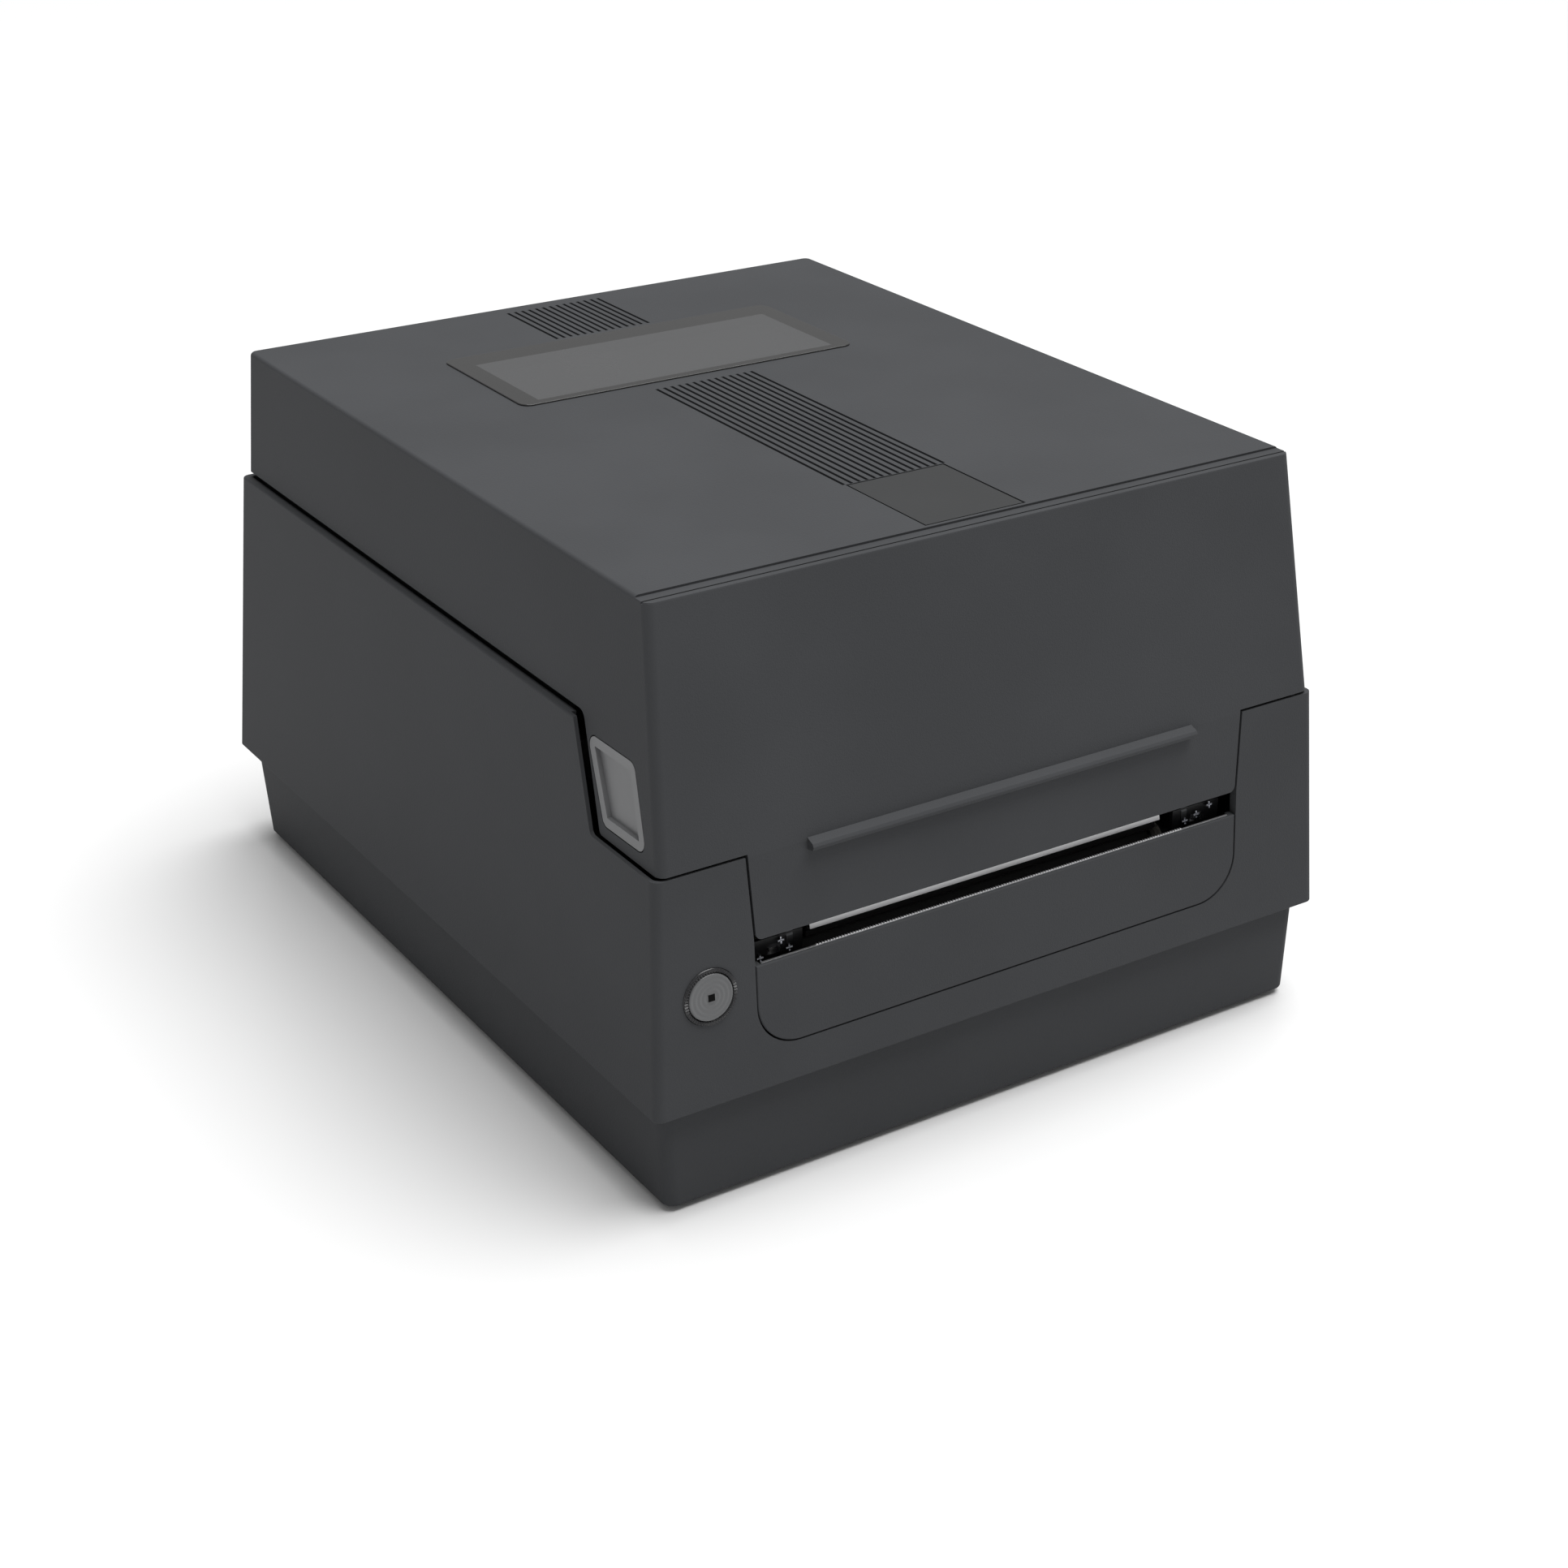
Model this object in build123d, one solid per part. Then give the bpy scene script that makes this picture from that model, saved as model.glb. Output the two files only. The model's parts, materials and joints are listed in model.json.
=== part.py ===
"""Desktop thermal-transfer label printer, four-inch media, clamshell lid hinged at the rear.

Millimetres. +X is the printer's right side seen from the front, -Y the front, +Z up.
The origin is the middle of the underside. One STEP file is written for each piece.
"""
import os
from math import cos, pi, sin

from build123d import *

# ---------------------------------------------------------------- driving dimensions
BAY_HALF = 73.0             # inside half width of the media bay
SIDE_SPACE = 40.0           # from the bay's inside to the case's widest line, each side
WIDTH = 2 * (BAY_HALF + SIDE_SPACE)  # over the band, the widest part of the case
DEPTH = 277.0
WALL = 2.6                  # moulded case walls
CORNER_R = 2.6              # upright case corners
EDGE_R = 1.2                # small edge rounds
CRISP_R = 0.4               # the band's lower edge, a crisp line over the base
SEAM = 0.35                 # gap between neighbouring case pieces
RUN = 0.05                  # radial play of a shaft in its bore
TIGHT = 0.02                # radial play of a fixed pin in its hole
FIT = 0.15                  # play of an inserted piece
NEAR = 0.3                  # gap between pieces that nearly touch

SIDE = WIDTH / 2
FRONT = -DEPTH / 2
REAR = DEPTH / 2

FOOT_H = 1.5
BASE_TOP = 31.6             # the band starts here
SLOT_LOW = BASE_TOP + 36.0  # lower edge of the label slot
SLOT_TOP = SLOT_LOW + 7.4
POST_TOP = SLOT_TOP + 23.7  # top of the two front posts
LIP_T = 1.1                 # the band's top edge is a thin lip in front of a rebate
LIP_DEEP = 3.0
BAND_TOP = POST_TOP + 29.3  # top edge of the band's sides and back
HEIGHT = BAND_TOP + 41.0
SLANT_LOW_Y = FRONT + 37.3  # the band's side edge rises between these two
SLANT_TOP_Y = SLANT_LOW_Y + 9.8
BAND_DRAFT = 0.052          # inward lean per millimetre of height
BAND_FRONT_DRAFT = 0.070
BAND_BACK_DRAFT = 0.115
BASE_STEP = 3.6             # the base stands back from the band
BASE_BACK_STEP = 5.0
BASE_DRAFT = 0.037
BASE_BACK_DRAFT = 0.125
FLANGE_T = 2.0              # ledge inside the band that sits on the base
FLANGE_IN = 13.0
FLANGE_TOP = BASE_TOP + FLANGE_T

LID_STEP = 1.9              # the lid stands back from the band
LID_BACK_STEP = 1.3
LID_DRAFT = 0.063
LID_FRONT_DRAFT = 0.164
LID_BACK_DRAFT = 0.068
LID_GAP = 2.0               # dark gap above the band
SLANT_GAP = 2.6
POST_GAP = 0.8

HEAD_HALF = BAY_HALF - 13.5   # print head and its steel strip
HEAD_GAP = 0.35             # the label's room between head and platen
PLATEN_R = 8.25
PLATEN_HALF = HEAD_HALF
NIP_DROP = 3.0              # the platen's top lies this far under the slot's lower edge
PLATEN_Y = FRONT + 21.0
PLATEN_Z = SLOT_LOW - NIP_DROP - PLATEN_R
SHAFT_R = 4.0
FRAME_X = HEAD_HALF + 6.5   # inner face of the platen's side plates
FRAME_T = 2.0
BUSH_R = 6.0

SLOT_HALF = FRAME_X + 15.0  # label slot and bezel
TONGUE_HALF = SLOT_HALF + 1.5
BEZEL_LOW = BASE_TOP + 11.4
BEZEL_R = 13.0
LIP_HALF = SLOT_HALF - 17.0  # finger lip along the crease
LIP_OUT = 2.9

BAY_FLOOR = FLANGE_TOP + 2.4
BAY_T = 2.0
BAY_CORNER_R = 3.0          # inside radius of the bay's rear lower corner
BAY_BACK = REAR - 20.5
ROLL_Y = BAY_BACK - 68.0    # the label roll's axis
ROLL_Z = BAY_FLOOR + 62.0
BAY_LEDGE_Y = PLATEN_Y + PLATEN_R + 2.25
BAY_LEDGE_Z = SLOT_LOW - 6.6
BAY_RAMP_Y = (ROLL_Y - 90.0, BAY_LEDGE_Y + 13.0)
DECK_Z = BAND_TOP - 10.0
DECK_FRONT_Y = FRONT + 52.5
LOW_DECK_Z = POST_TOP - 8.7
FANFOLD_HALF = HEAD_HALF - 1.5
FANFOLD_Z = (SLOT_LOW - 1.1, SLOT_LOW + 12.9)

GEAR_M = 1.0                # gear module
PLATEN_TEETH = 28
IDLER_TEETH = 24
MOTOR_TEETH = 12
MESH_GAP = 0.3
TRAIN_LEAN = -0.05          # direction of the gear train, radians
GEAR_W = 4.0
GEAR_X = -BAY_HALF - BAY_T - 0.5 - GEAR_W
GEAR_PLATE_T = 1.6
STUD_R = 2.5
MOTOR_SIDE = 35.0
MOTOR_LONG = 22.0
MOTOR_SHAFT_R = 2.0

HEAD_BACK_Y = PLATEN_Y + 19.5
HEAD_PIVOT_Y = PLATEN_Y + 25.5
HEAD_PIVOT_Z = PLATEN_Z + PLATEN_R + 21.4
RIBBON_X = HEAD_HALF + 2.5  # ribbon side plates
TAKEUP_Y = HEAD_PIVOT_Y
TAKEUP_Z = HEAD_PIVOT_Z + 40.0
SUPPLY_Y = TAKEUP_Y + 44.0
SUPPLY_Z = TAKEUP_Z + 8.0
CROSS_PLATE_Z = HEAD_PIVOT_Z - 2.0  # plate over the print head, which its springs push against
CORE_R = 6.0                # ribbon spindles
CORE_FIN = 2.4
SPINDLE_END_R = 3.0
TAKEUP_TEETH = 28
RIBBON_TEETH = 10
RIBBON_MOTOR_R = 11.0
GUIDE_ROD_R = 2.0
RIBBON_BACK_Y = SUPPLY_Y + 18.0

WINDOW_HALF = 58.0          # window plate over the label roll, standing just proud of the lid
WINDOW_Y = (ROLL_Y - 23.0, ROLL_Y + 30.0)
WINDOW_R = 3.5
WINDOW_PROUD = 0.5
PANE_HALF = WINDOW_HALF - 6.0
PANE_Y = (WINDOW_Y[0] + 6.0, WINDOW_Y[1] - 6.5)
PLATE_HALF = 16.0           # plain name plate
PLATE_Y = (FRONT + 22.9, FRONT + 59.5)
PLATE_T = 1.0
PLATE_SEAM = 0.55           # open joint round the name plate
RIB_COUNT = 14              # grooves in the lid's top
RIB_SPAN = 33.0
RIB_W = 1.0
RIB_DEEP = 0.6
RIB_FRONT = (PLATE_Y[1] + 0.5, WINDOW_Y[0] - 5.5)
RIB_BACK = (WINDOW_Y[1] + 3.0, REAR - 21.5)
EDGE_STRIP_Y = FRONT + 21.5  # lowered strip along the lid's top front edge
EDGE_STRIP_DEEP = 0.6
EDGE_GROOVE_Y = EDGE_STRIP_Y - 3.6

TAB_TOP_Y = (FRONT + 42.9, FRONT + 19.0)    # release tab's corners, rear and front
TAB_LOW_Y = (FRONT + 33.1, FRONT + 11.7)
TAB_TOP_Z = (POST_TOP + 26.4, POST_TOP + 26.8)
TAB_LOW_Z = (POST_TOP + 4.1, POST_TOP + 4.5)
TAB_R = 2.8
TAB_T = 4.0
TAB_DISH = 1.3
TAB_RIM = 2.6
HOOK_X = SIDE - WALL - 12.4        # latch hooks, middle of the lever
HOOK_T = 2.0
HOOK_Y = (FRONT + 17.5, FRONT + 33.5)
HOOK_PIVOT_Z = TAB_TOP_Z[1] + 5.5
HOOK_BOSS_R = 3.4
HOOK_PIN_R = 1.5
HOOK_NOSE = 2.6
STRIKER_Z = LOW_DECK_Z + 2.5
STRIKER_T = 2.0
STRIKER_IN = 7.5            # how far the striker reaches in from the post wall

HINGE_Y = REAR - 9.0
HINGE_Z = BAND_TOP + 0.5
BARREL_R = 4.2
HINGE_PIN_R = 2.0
BARREL_X = (SIDE - 51.0, SIDE - 43.0, SIDE - 27.0, SIDE - 19.0)

HOLDER_X = BAY_HALF - 12.0  # inner face of each roll holder when fully open
HOLDER_T = 3.0
HOLDER_W = 14.0
HUB_R = 12.0
HUB_L = 7.0
HOLDER_TRAVEL = 40.0
RACK_TEETH = 10

BUTTON_X = -(SIDE + SLOT_HALF) / 2 + 1.8    # between the bezel and the corner
BUTTON_Z = SLOT_LOW - 4.2
BUTTON_R = 6.6
RING_R = 7.9
BUTTON_RINGS = (2.6, 4.1, 5.4)
SWITCH_X = SIDE - 29.0
SWITCH_Z = BASE_TOP + 22.4
SWITCH_W = 13.0
SWITCH_H = 19.0
ROCKER_TILT = 9.0

BOARD_Z = 9.0
BOARD_T = 1.6
BOARD_X = (29.0 - SIDE, SIDE - 23.0)
BOARD_Y = (REAR - 116.5, REAR - 14.0)
SCREW_R = 1.5

parts = {}


# ---------------------------------------------------------------- case surfaces
def band_half(z):
    return SIDE - (z - BASE_TOP) * BAND_DRAFT


def band_front(z):
    return FRONT + (z - BASE_TOP) * BAND_FRONT_DRAFT


def band_back(z):
    return REAR - (z - BASE_TOP) * BAND_BACK_DRAFT


def base_half(z):
    return SIDE - BASE_STEP - (BASE_TOP - z) * BASE_DRAFT


def base_front(z):
    return FRONT + BASE_STEP


def base_back(z):
    return REAR - BASE_BACK_STEP - (BASE_TOP - z) * BASE_BACK_DRAFT


def lid_half(z):
    return band_half(BAND_TOP) - LID_STEP - (z - BAND_TOP) * LID_DRAFT


def lid_front(z):
    return band_front(POST_TOP) + (z - POST_TOP) * LID_FRONT_DRAFT


def lid_back(z):
    return band_back(BAND_TOP) - LID_BACK_STEP - (z - BAND_TOP) * LID_BACK_DRAFT


# ---------------------------------------------------------------- shape helpers
def polygon(points, plane, rounds=None):
    """A face from corner points; rounds maps a corner's number to its radius."""
    face = make_face(Polyline(*points, close=True))
    for number, radius in (rounds or {}).items():
        spot = Vector(*points[number])
        corner = min(face.vertices(), key=lambda v: (Vector(v.X, v.Y) - spot).length)
        face = fillet(corner, radius)
    return plane * face


def prism_x(points, x0, x1, rounds=None):
    """A profile of (y, z) points, extruded from x0 to x1."""
    return extrude(polygon(points, Plane.YZ.offset(x0), rounds), x1 - x0)


def prism_y(points, y0, y1, rounds=None):
    """A profile of (x, z) points, extruded from y0 to y1."""
    plane = Plane(origin=(0, y0, 0), x_dir=(1, 0, 0), z_dir=(0, -1, 0))
    return extrude(polygon(points, plane, rounds), -(y1 - y0))


def block(x0, x1, y0, y1, z0, z1):
    return Pos((x0 + x1) / 2, (y0 + y1) / 2, (z0 + z1) / 2) * Box(x1 - x0, y1 - y0, z1 - z0)


def rod_x(x0, x1, y, z, r):
    return Pos((x0 + x1) / 2, y, z) * Rot(0, 90, 0) * Cylinder(r, x1 - x0)


def rod_y(y0, y1, x, z, r):
    return Pos(x, (y0 + y1) / 2, z) * Rot(90, 0, 0) * Cylinder(r, y1 - y0)


def rod_z(z0, z1, x, y, r):
    return Pos(x, y, (z0 + z1) / 2) * Cylinder(r, z1 - z0)


def both_sides(shape):
    return shape + shape.mirror(Plane.YZ)


def hull(z0, z1, half, front, back, inset=0.0, corner=0.0):
    """The case volume between two heights, with leaning sides, moved in by inset."""
    side = prism_x([(front(z0) + inset, z0), (back(z0) - inset, z0),
                    (back(z1) - inset, z1), (front(z1) + inset, z1)], -WIDTH, WIDTH)
    face = prism_y([(-half(z0) + inset, z0), (half(z0) - inset, z0),
                    (half(z1) - inset, z1), (-half(z1) + inset, z1)], -DEPTH, DEPTH)
    solid = side & face
    if corner > 0:
        upright = [e for e in solid.edges() if abs(e.tangent_at(0.5).Z) > 0.9]
        solid = fillet(upright, corner)
    return solid


def band_hull(z0, z1, inset=0.0, corner=0.0):
    return hull(z0, z1, band_half, band_front, band_back, inset, corner)


def base_hull(z0, z1, inset=0.0, corner=0.0):
    return hull(z0, z1, base_half, base_front, base_back, inset, corner)


def lid_hull(z0, z1, inset=0.0, corner=0.0):
    return hull(z0, z1, lid_half, lid_front, lid_back, inset, corner)


def front_slab(z0, z1, near, far):
    """A slab that leans with the front posts, between two depths behind their face."""
    return prism_x([(band_front(z0) + near, z0), (band_front(z0) + far, z0),
                    (band_front(z1) + far, z1), (band_front(z1) + near, z1)], -WIDTH, WIDTH)


def edges_at(solid, z, tol=0.05):
    """Edges that lie flat at height z."""
    return [e for e in solid.edges()
            if abs(e.position_at(0).Z - z) < tol and abs(e.position_at(1).Z - z) < tol]


def gear(x0, x1, y, z, teeth, bore, tooth_at):
    """A spur gear about an X axis, with one tooth centred on the angle tooth_at."""
    pitch_r = GEAR_M * teeth / 2
    root_r = pitch_r - 1.2 * GEAR_M
    tip_r = pitch_r + 0.8 * GEAR_M
    step = 2 * pi / teeth
    outline = []
    for number in range(teeth):
        middle = tooth_at + number * step
        for radius, share in ((root_r, -0.30), (tip_r, -0.11), (tip_r, 0.11), (root_r, 0.30)):
            angle = middle + share * step
            outline.append((radius * cos(angle), radius * sin(angle)))
    wheel = Pos(0, y, z) * prism_x(outline, x0, x1)
    return wheel - rod_x(x0 - 1, x1 + 1, y, z, bore)


def mesh_phase(teeth_a, tooth_a, direction, teeth_b):
    """Tooth angle of gear b, which meshes with gear a in the given direction from a."""
    step_a = 2 * pi / teeth_a
    step_b = 2 * pi / teeth_b
    share = ((direction - tooth_a) % step_a) / step_a
    return direction + pi + share * step_b + step_b / 2


def screw(x, y, z, length, r=SCREW_R, head_r=2.9, head_t=1.8, up=True):
    """A pan-head screw; z is the seat of its head."""
    sign = 1 if up else -1
    shank = rod_z(min(z, z - sign * length), max(z, z - sign * length), x, y, r)
    head = rod_z(min(z, z + sign * head_t), max(z, z + sign * head_t), x, y, head_r)
    cross = block(x - 1.5, x + 1.5, y - 0.35, y + 0.35, z + sign * head_t - 0.5, z + sign * head_t + 0.5)
    other = block(x - 0.35, x + 0.35, y - 1.5, y + 1.5, z + sign * head_t - 0.5, z + sign * head_t + 0.5)
    return shank + head - cross - other


# ---------------------------------------------------------------- where the gears stand
IDLER_REACH = GEAR_M * (PLATEN_TEETH + IDLER_TEETH) / 2 + MESH_GAP
MOTOR_REACH = GEAR_M * (IDLER_TEETH + MOTOR_TEETH) / 2 + MESH_GAP
IDLER_Y = PLATEN_Y + IDLER_REACH * cos(TRAIN_LEAN)
IDLER_Z = PLATEN_Z + IDLER_REACH * sin(TRAIN_LEAN)
MOTOR_Y = IDLER_Y + MOTOR_REACH * cos(TRAIN_LEAN)
MOTOR_Z = IDLER_Z + MOTOR_REACH * sin(TRAIN_LEAN)
IDLER_PHASE = mesh_phase(PLATEN_TEETH, 0.0, TRAIN_LEAN, IDLER_TEETH)
MOTOR_PHASE = mesh_phase(IDLER_TEETH, IDLER_PHASE, TRAIN_LEAN, MOTOR_TEETH)
RIBBON_REACH = GEAR_M * (TAKEUP_TEETH + RIBBON_TEETH) / 2 + MESH_GAP
RIBBON_LEAN = 0.45
RIBBON_MOTOR_Y = TAKEUP_Y + RIBBON_REACH * cos(RIBBON_LEAN)
RIBBON_MOTOR_Z = TAKEUP_Z + RIBBON_REACH * sin(RIBBON_LEAN)
RIBBON_PHASE = mesh_phase(TAKEUP_TEETH, 0.0, RIBBON_LEAN, RIBBON_TEETH)
PLATEN_TOP = PLATEN_Z + PLATEN_R
HEAD_Z = PLATEN_TOP + HEAD_GAP
RACK_R = GEAR_M * RACK_TEETH / 2


# ---------------------------------------------------------------- base
CASE_SCREW_SPOTS = [(x, y) for y in (FRONT + 26.5, REAR - 32.5) for x in (17 - SIDE, SIDE - 17)]
SCREW_POST_R = 4.5
SCREW_WELL_R = 3.2
BOARD_SCREW_SPOTS = [(x, y) for x in (BOARD_X[0] + 6, BOARD_X[1] - 6)
                     for y in (BOARD_Y[0] + 6, BOARD_Y[1] - 16)]
PORTS = {                   # x middle, width, height above the board
    "dc_inlet": (64.0, 9.0, 11.0),
    "usb_port": (-10.0, 12.0, 10.8),
    "lan_port": (-38.0, 16.0, 13.4),
    "serial_port": (24.0, 31.0, 12.4),
}
BOARD_TOP = BOARD_Z + BOARD_T
BOARD_POST_R = 3.2
VENT_COLUMNS, VENT_ROWS = 14, 5
VENT_PITCH_X, VENT_PITCH_Y = 9.0, 12.0
VENT_HALF_X, VENT_HALF_Y = 1.5, 4.0
VENT_START_Y = FRONT + 68.5


def port_hole(name, grow):
    x, width, height = PORTS[name]
    return block(x - width / 2 - grow, x + width / 2 + grow, BOARD_Y[1] - 14 - grow, REAR + 5,
                 BOARD_TOP + NEAR / 3 - grow, BOARD_TOP + height + grow)


def make_bottom_case():
    shell = base_hull(FOOT_H, BASE_TOP, corner=CORNER_R + 1)
    shell = fillet(edges_at(shell, FOOT_H), EDGE_R)
    shell -= base_hull(FOOT_H + WALL, BASE_TOP + 1, inset=WALL, corner=CORNER_R)
    for x, y in CASE_SCREW_SPOTS:
        shell += rod_z(FOOT_H, BASE_TOP, x, y, SCREW_POST_R)
        shell -= rod_z(FOOT_H - 1, FOOT_H + 5, x, y, SCREW_WELL_R)
        shell -= rod_z(FOOT_H, BASE_TOP + 1, x, y, SCREW_R + FIT)
    for x, y in BOARD_SCREW_SPOTS:
        shell += rod_z(FOOT_H + 1, BOARD_Z, x, y, BOARD_POST_R)
        shell -= rod_z(FOOT_H + 3, BOARD_Z + 1, x, y, SCREW_R + RUN)
    for name in PORTS:
        shell -= port_hole(name, FIT) & block(-WIDTH, WIDTH, BOARD_Y[1], DEPTH, 0, BASE_TOP)
    for row in range(VENT_ROWS):
        for column in range(VENT_COLUMNS):
            x = VENT_PITCH_X * (column - (VENT_COLUMNS - 1) / 2)
            y = VENT_START_Y + VENT_PITCH_Y * row
            shell -= block(x - VENT_HALF_X, x + VENT_HALF_X, y - VENT_HALF_Y, y + VENT_HALF_Y,
                           0, FOOT_H + WALL + 1)
    return shell


FOOT_SPOTS = [(x, y) for x in (27 - SIDE, SIDE - 27) for y in (FRONT + 18.5, REAR - 20.5)]
FOOT_R = 8.0


def make_feet():
    feet = None
    for x, y in FOOT_SPOTS:
        foot = rod_z(0, FOOT_H, x, y, FOOT_R)
        foot = fillet(edges_at(foot, 0), 0.6)
        feet = foot if feet is None else feet + foot
    return feet


def make_case_screws():
    screws = None
    for x, y in CASE_SCREW_SPOTS:
        one = screw(x, y, FOOT_H + 5, BASE_TOP + FLANGE_T - FOOT_H - 6, up=False)
        screws = one if screws is None else screws + one
    return screws


# ---------------------------------------------------------------- body case and bezel
BEZEL_CORNERS = [(-TONGUE_HALF - 0.1, POST_TOP + 3), (-SLOT_HALF, SLOT_TOP), (-SLOT_HALF, BEZEL_LOW),
                 (SLOT_HALF, BEZEL_LOW), (SLOT_HALF, SLOT_TOP), (TONGUE_HALF + 0.1, POST_TOP + 3)]
button_plane = Plane(origin=(BUTTON_X, band_front(BUTTON_Z), BUTTON_Z), x_dir=(1, 0, 0),
                     z_dir=(0, -1, BAND_FRONT_DRAFT))
switch_plane = Plane(origin=(SWITCH_X, band_back(SWITCH_Z), SWITCH_Z), x_dir=(-1, 0, 0),
                     z_dir=(0, 1, BAND_BACK_DRAFT))


def body_edge(points_up):
    """Everything above the band's stepped top edge, seen from the side."""
    return prism_x([(-DEPTH, POST_TOP), (SLANT_LOW_Y, POST_TOP), (SLANT_TOP_Y, BAND_TOP),
                    (SLANT_TOP_Y, BAND_TOP + points_up), (-DEPTH, BAND_TOP + points_up)],
                   -WIDTH, WIDTH, {1: 2.0})


def make_body_case():
    case = band_hull(BASE_TOP, BAND_TOP, corner=CORNER_R)
    case = fillet(edges_at(case, BASE_TOP), CRISP_R)
    case = fillet(edges_at(case, BAND_TOP), 0.5)
    case -= band_hull(BASE_TOP - 1, BAND_TOP + 1, inset=WALL, corner=CORNER_R - 1.5)
    case -= body_edge(5)
    case -= (Pos(0, LIP_DEEP, -LIP_DEEP) * body_edge(5)) & band_hull(BASE_TOP - 1, BAND_TOP + 1, inset=LIP_T,
                                                              corner=CORNER_R - LIP_T / 2)
    ledge = band_hull(BASE_TOP, BASE_TOP + FLANGE_T, inset=WALL / 2, corner=1)
    ledge -= block(FLANGE_IN - SIDE, SIDE - FLANGE_IN,
                   FRONT + FLANGE_IN + 5, REAR - FLANGE_IN, BASE_TOP - 1, FLANGE_TOP + 1)
    for x, y in CASE_SCREW_SPOTS:
        ledge -= rod_z(BASE_TOP - 1, FLANGE_TOP + 1, x, y, SCREW_R + RUN)
    case += ledge
    opening = [(x + (SEAM if x > 0 else -SEAM), z) for x, z in BEZEL_CORNERS]
    opening[2] = (opening[2][0], BEZEL_LOW - SEAM)
    opening[3] = (opening[3][0], BEZEL_LOW - SEAM)
    case -= prism_y(opening, -DEPTH, FRONT + 20, {2: BEZEL_R, 3: BEZEL_R})
    case -= block(-FANFOLD_HALF, FANFOLD_HALF, DEPTH / 3, DEPTH, *FANFOLD_Z)
    case -= button_plane * Cylinder(RING_R + FIT, 4 * WALL)
    case -= switch_plane * Box(SWITCH_W + 2 * FIT, SWITCH_H + 2 * FIT, 6 * WALL)
    for left, right in ((BARREL_X[0], BARREL_X[1]), (BARREL_X[2], BARREL_X[3])):
        case += both_sides(rod_x(left, right, HINGE_Y, HINGE_Z, BARREL_R))
        case += both_sides(prism_x([(HINGE_Y - 5, HINGE_Z - 8), (band_back(HINGE_Z - 14), HINGE_Z - 14),
                                    (HINGE_Y + BARREL_R - 0.6, HINGE_Z - 1), (HINGE_Y - 4, HINGE_Z - 1)],
                                   left, right))
    case -= both_sides(rod_x(BARREL_X[1], BARREL_X[2], HINGE_Y, HINGE_Z, BARREL_R + 0.8))
    case -= both_sides(rod_x(BARREL_X[0] - 1, BARREL_X[3] + 1, HINGE_Y, HINGE_Z, HINGE_PIN_R + TIGHT))
    return case


def bezel_face(grow):
    """The bezel and slot outline, up to the slot's upper edge."""
    return [(-SLOT_HALF - grow, SLOT_TOP), (-SLOT_HALF - grow, BEZEL_LOW - grow),
            (SLOT_HALF + grow, BEZEL_LOW - grow), (SLOT_HALF + grow, SLOT_TOP)]


BLADE_IN = 0.9              # wall left in front of the tear blade
BLADE_T = 0.6
BLADE_HALF = SLOT_HALF - 2.0
BLADE_Z = (SLOT_LOW - 7.8, SLOT_LOW + 0.2)


def make_front_bezel():
    bezel = front_slab(BEZEL_LOW - 1, SLOT_LOW, 0, WALL)
    bezel &= prism_y(bezel_face(0), -DEPTH, 0, {1: BEZEL_R, 2: BEZEL_R})
    rim = [e for e in bezel.edges() if abs(e.position_at(0.5).Y - band_front(e.position_at(0.5).Z)) < 0.02]
    bezel = fillet([e for e in rim], 0.4)
    bezel -= front_slab(BLADE_Z[0] - NEAR, SLOT_LOW + 1, BLADE_IN, 2 * WALL) & block(
        -BLADE_HALF - NEAR, BLADE_HALF + NEAR, -DEPTH, 0, 0, HEIGHT)
    back = front_slab(BEZEL_LOW - 7, BEZEL_LOW + 4, WALL, WALL + 1.6)
    back &= block(-SLOT_HALF + 8, SLOT_HALF - 8, -DEPTH, 0, BEZEL_LOW - 7, BEZEL_LOW + 4)
    return bezel + back


def make_tear_blade():
    pitch, tooth = 1.0, 0.6
    low, top = BLADE_Z
    teeth_half = HEAD_HALF + 2.5
    outline = [(-BLADE_HALF, low), (BLADE_HALF, low), (BLADE_HALF, top), (teeth_half, top)]
    for number in range(int(2 * teeth_half / pitch)):
        x = teeth_half - number * pitch
        outline += [(x - pitch / 2, top + tooth), (x - pitch, top)]
    outline.append((-BLADE_HALF, top))
    return prism_y(outline, -DEPTH, 0) & front_slab(SLOT_LOW - 10, SLOT_LOW + 3, BLADE_IN, BLADE_IN + BLADE_T)


# ---------------------------------------------------------------- media bay
def bay_side(grow, top):
    """The bay's side outline; grow moves it outward by the wall."""
    return [(BAY_BACK + grow, BAY_FLOOR - grow), (BAY_BACK + grow, top), (BAY_LEDGE_Y, top),
            (BAY_LEDGE_Y, BAY_LEDGE_Z - grow), (BAY_RAMP_Y[1] + grow / 2, BAY_LEDGE_Z - grow),
            (BAY_RAMP_Y[0] + grow / 2, BAY_FLOOR - grow)]


SENSOR_RAIL_Y = BAY_LEDGE_Y + 6.0
SENSOR_RAIL_Z = BAY_LEDGE_Z - 7.5
SENSOR_RAIL_R = 1.5
SENSOR_SLOT = 2.8           # half width of the sensor's slot in the ledge
SENSOR_HALF = 6.0
SENSOR_TRAVEL = 35.0


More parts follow.
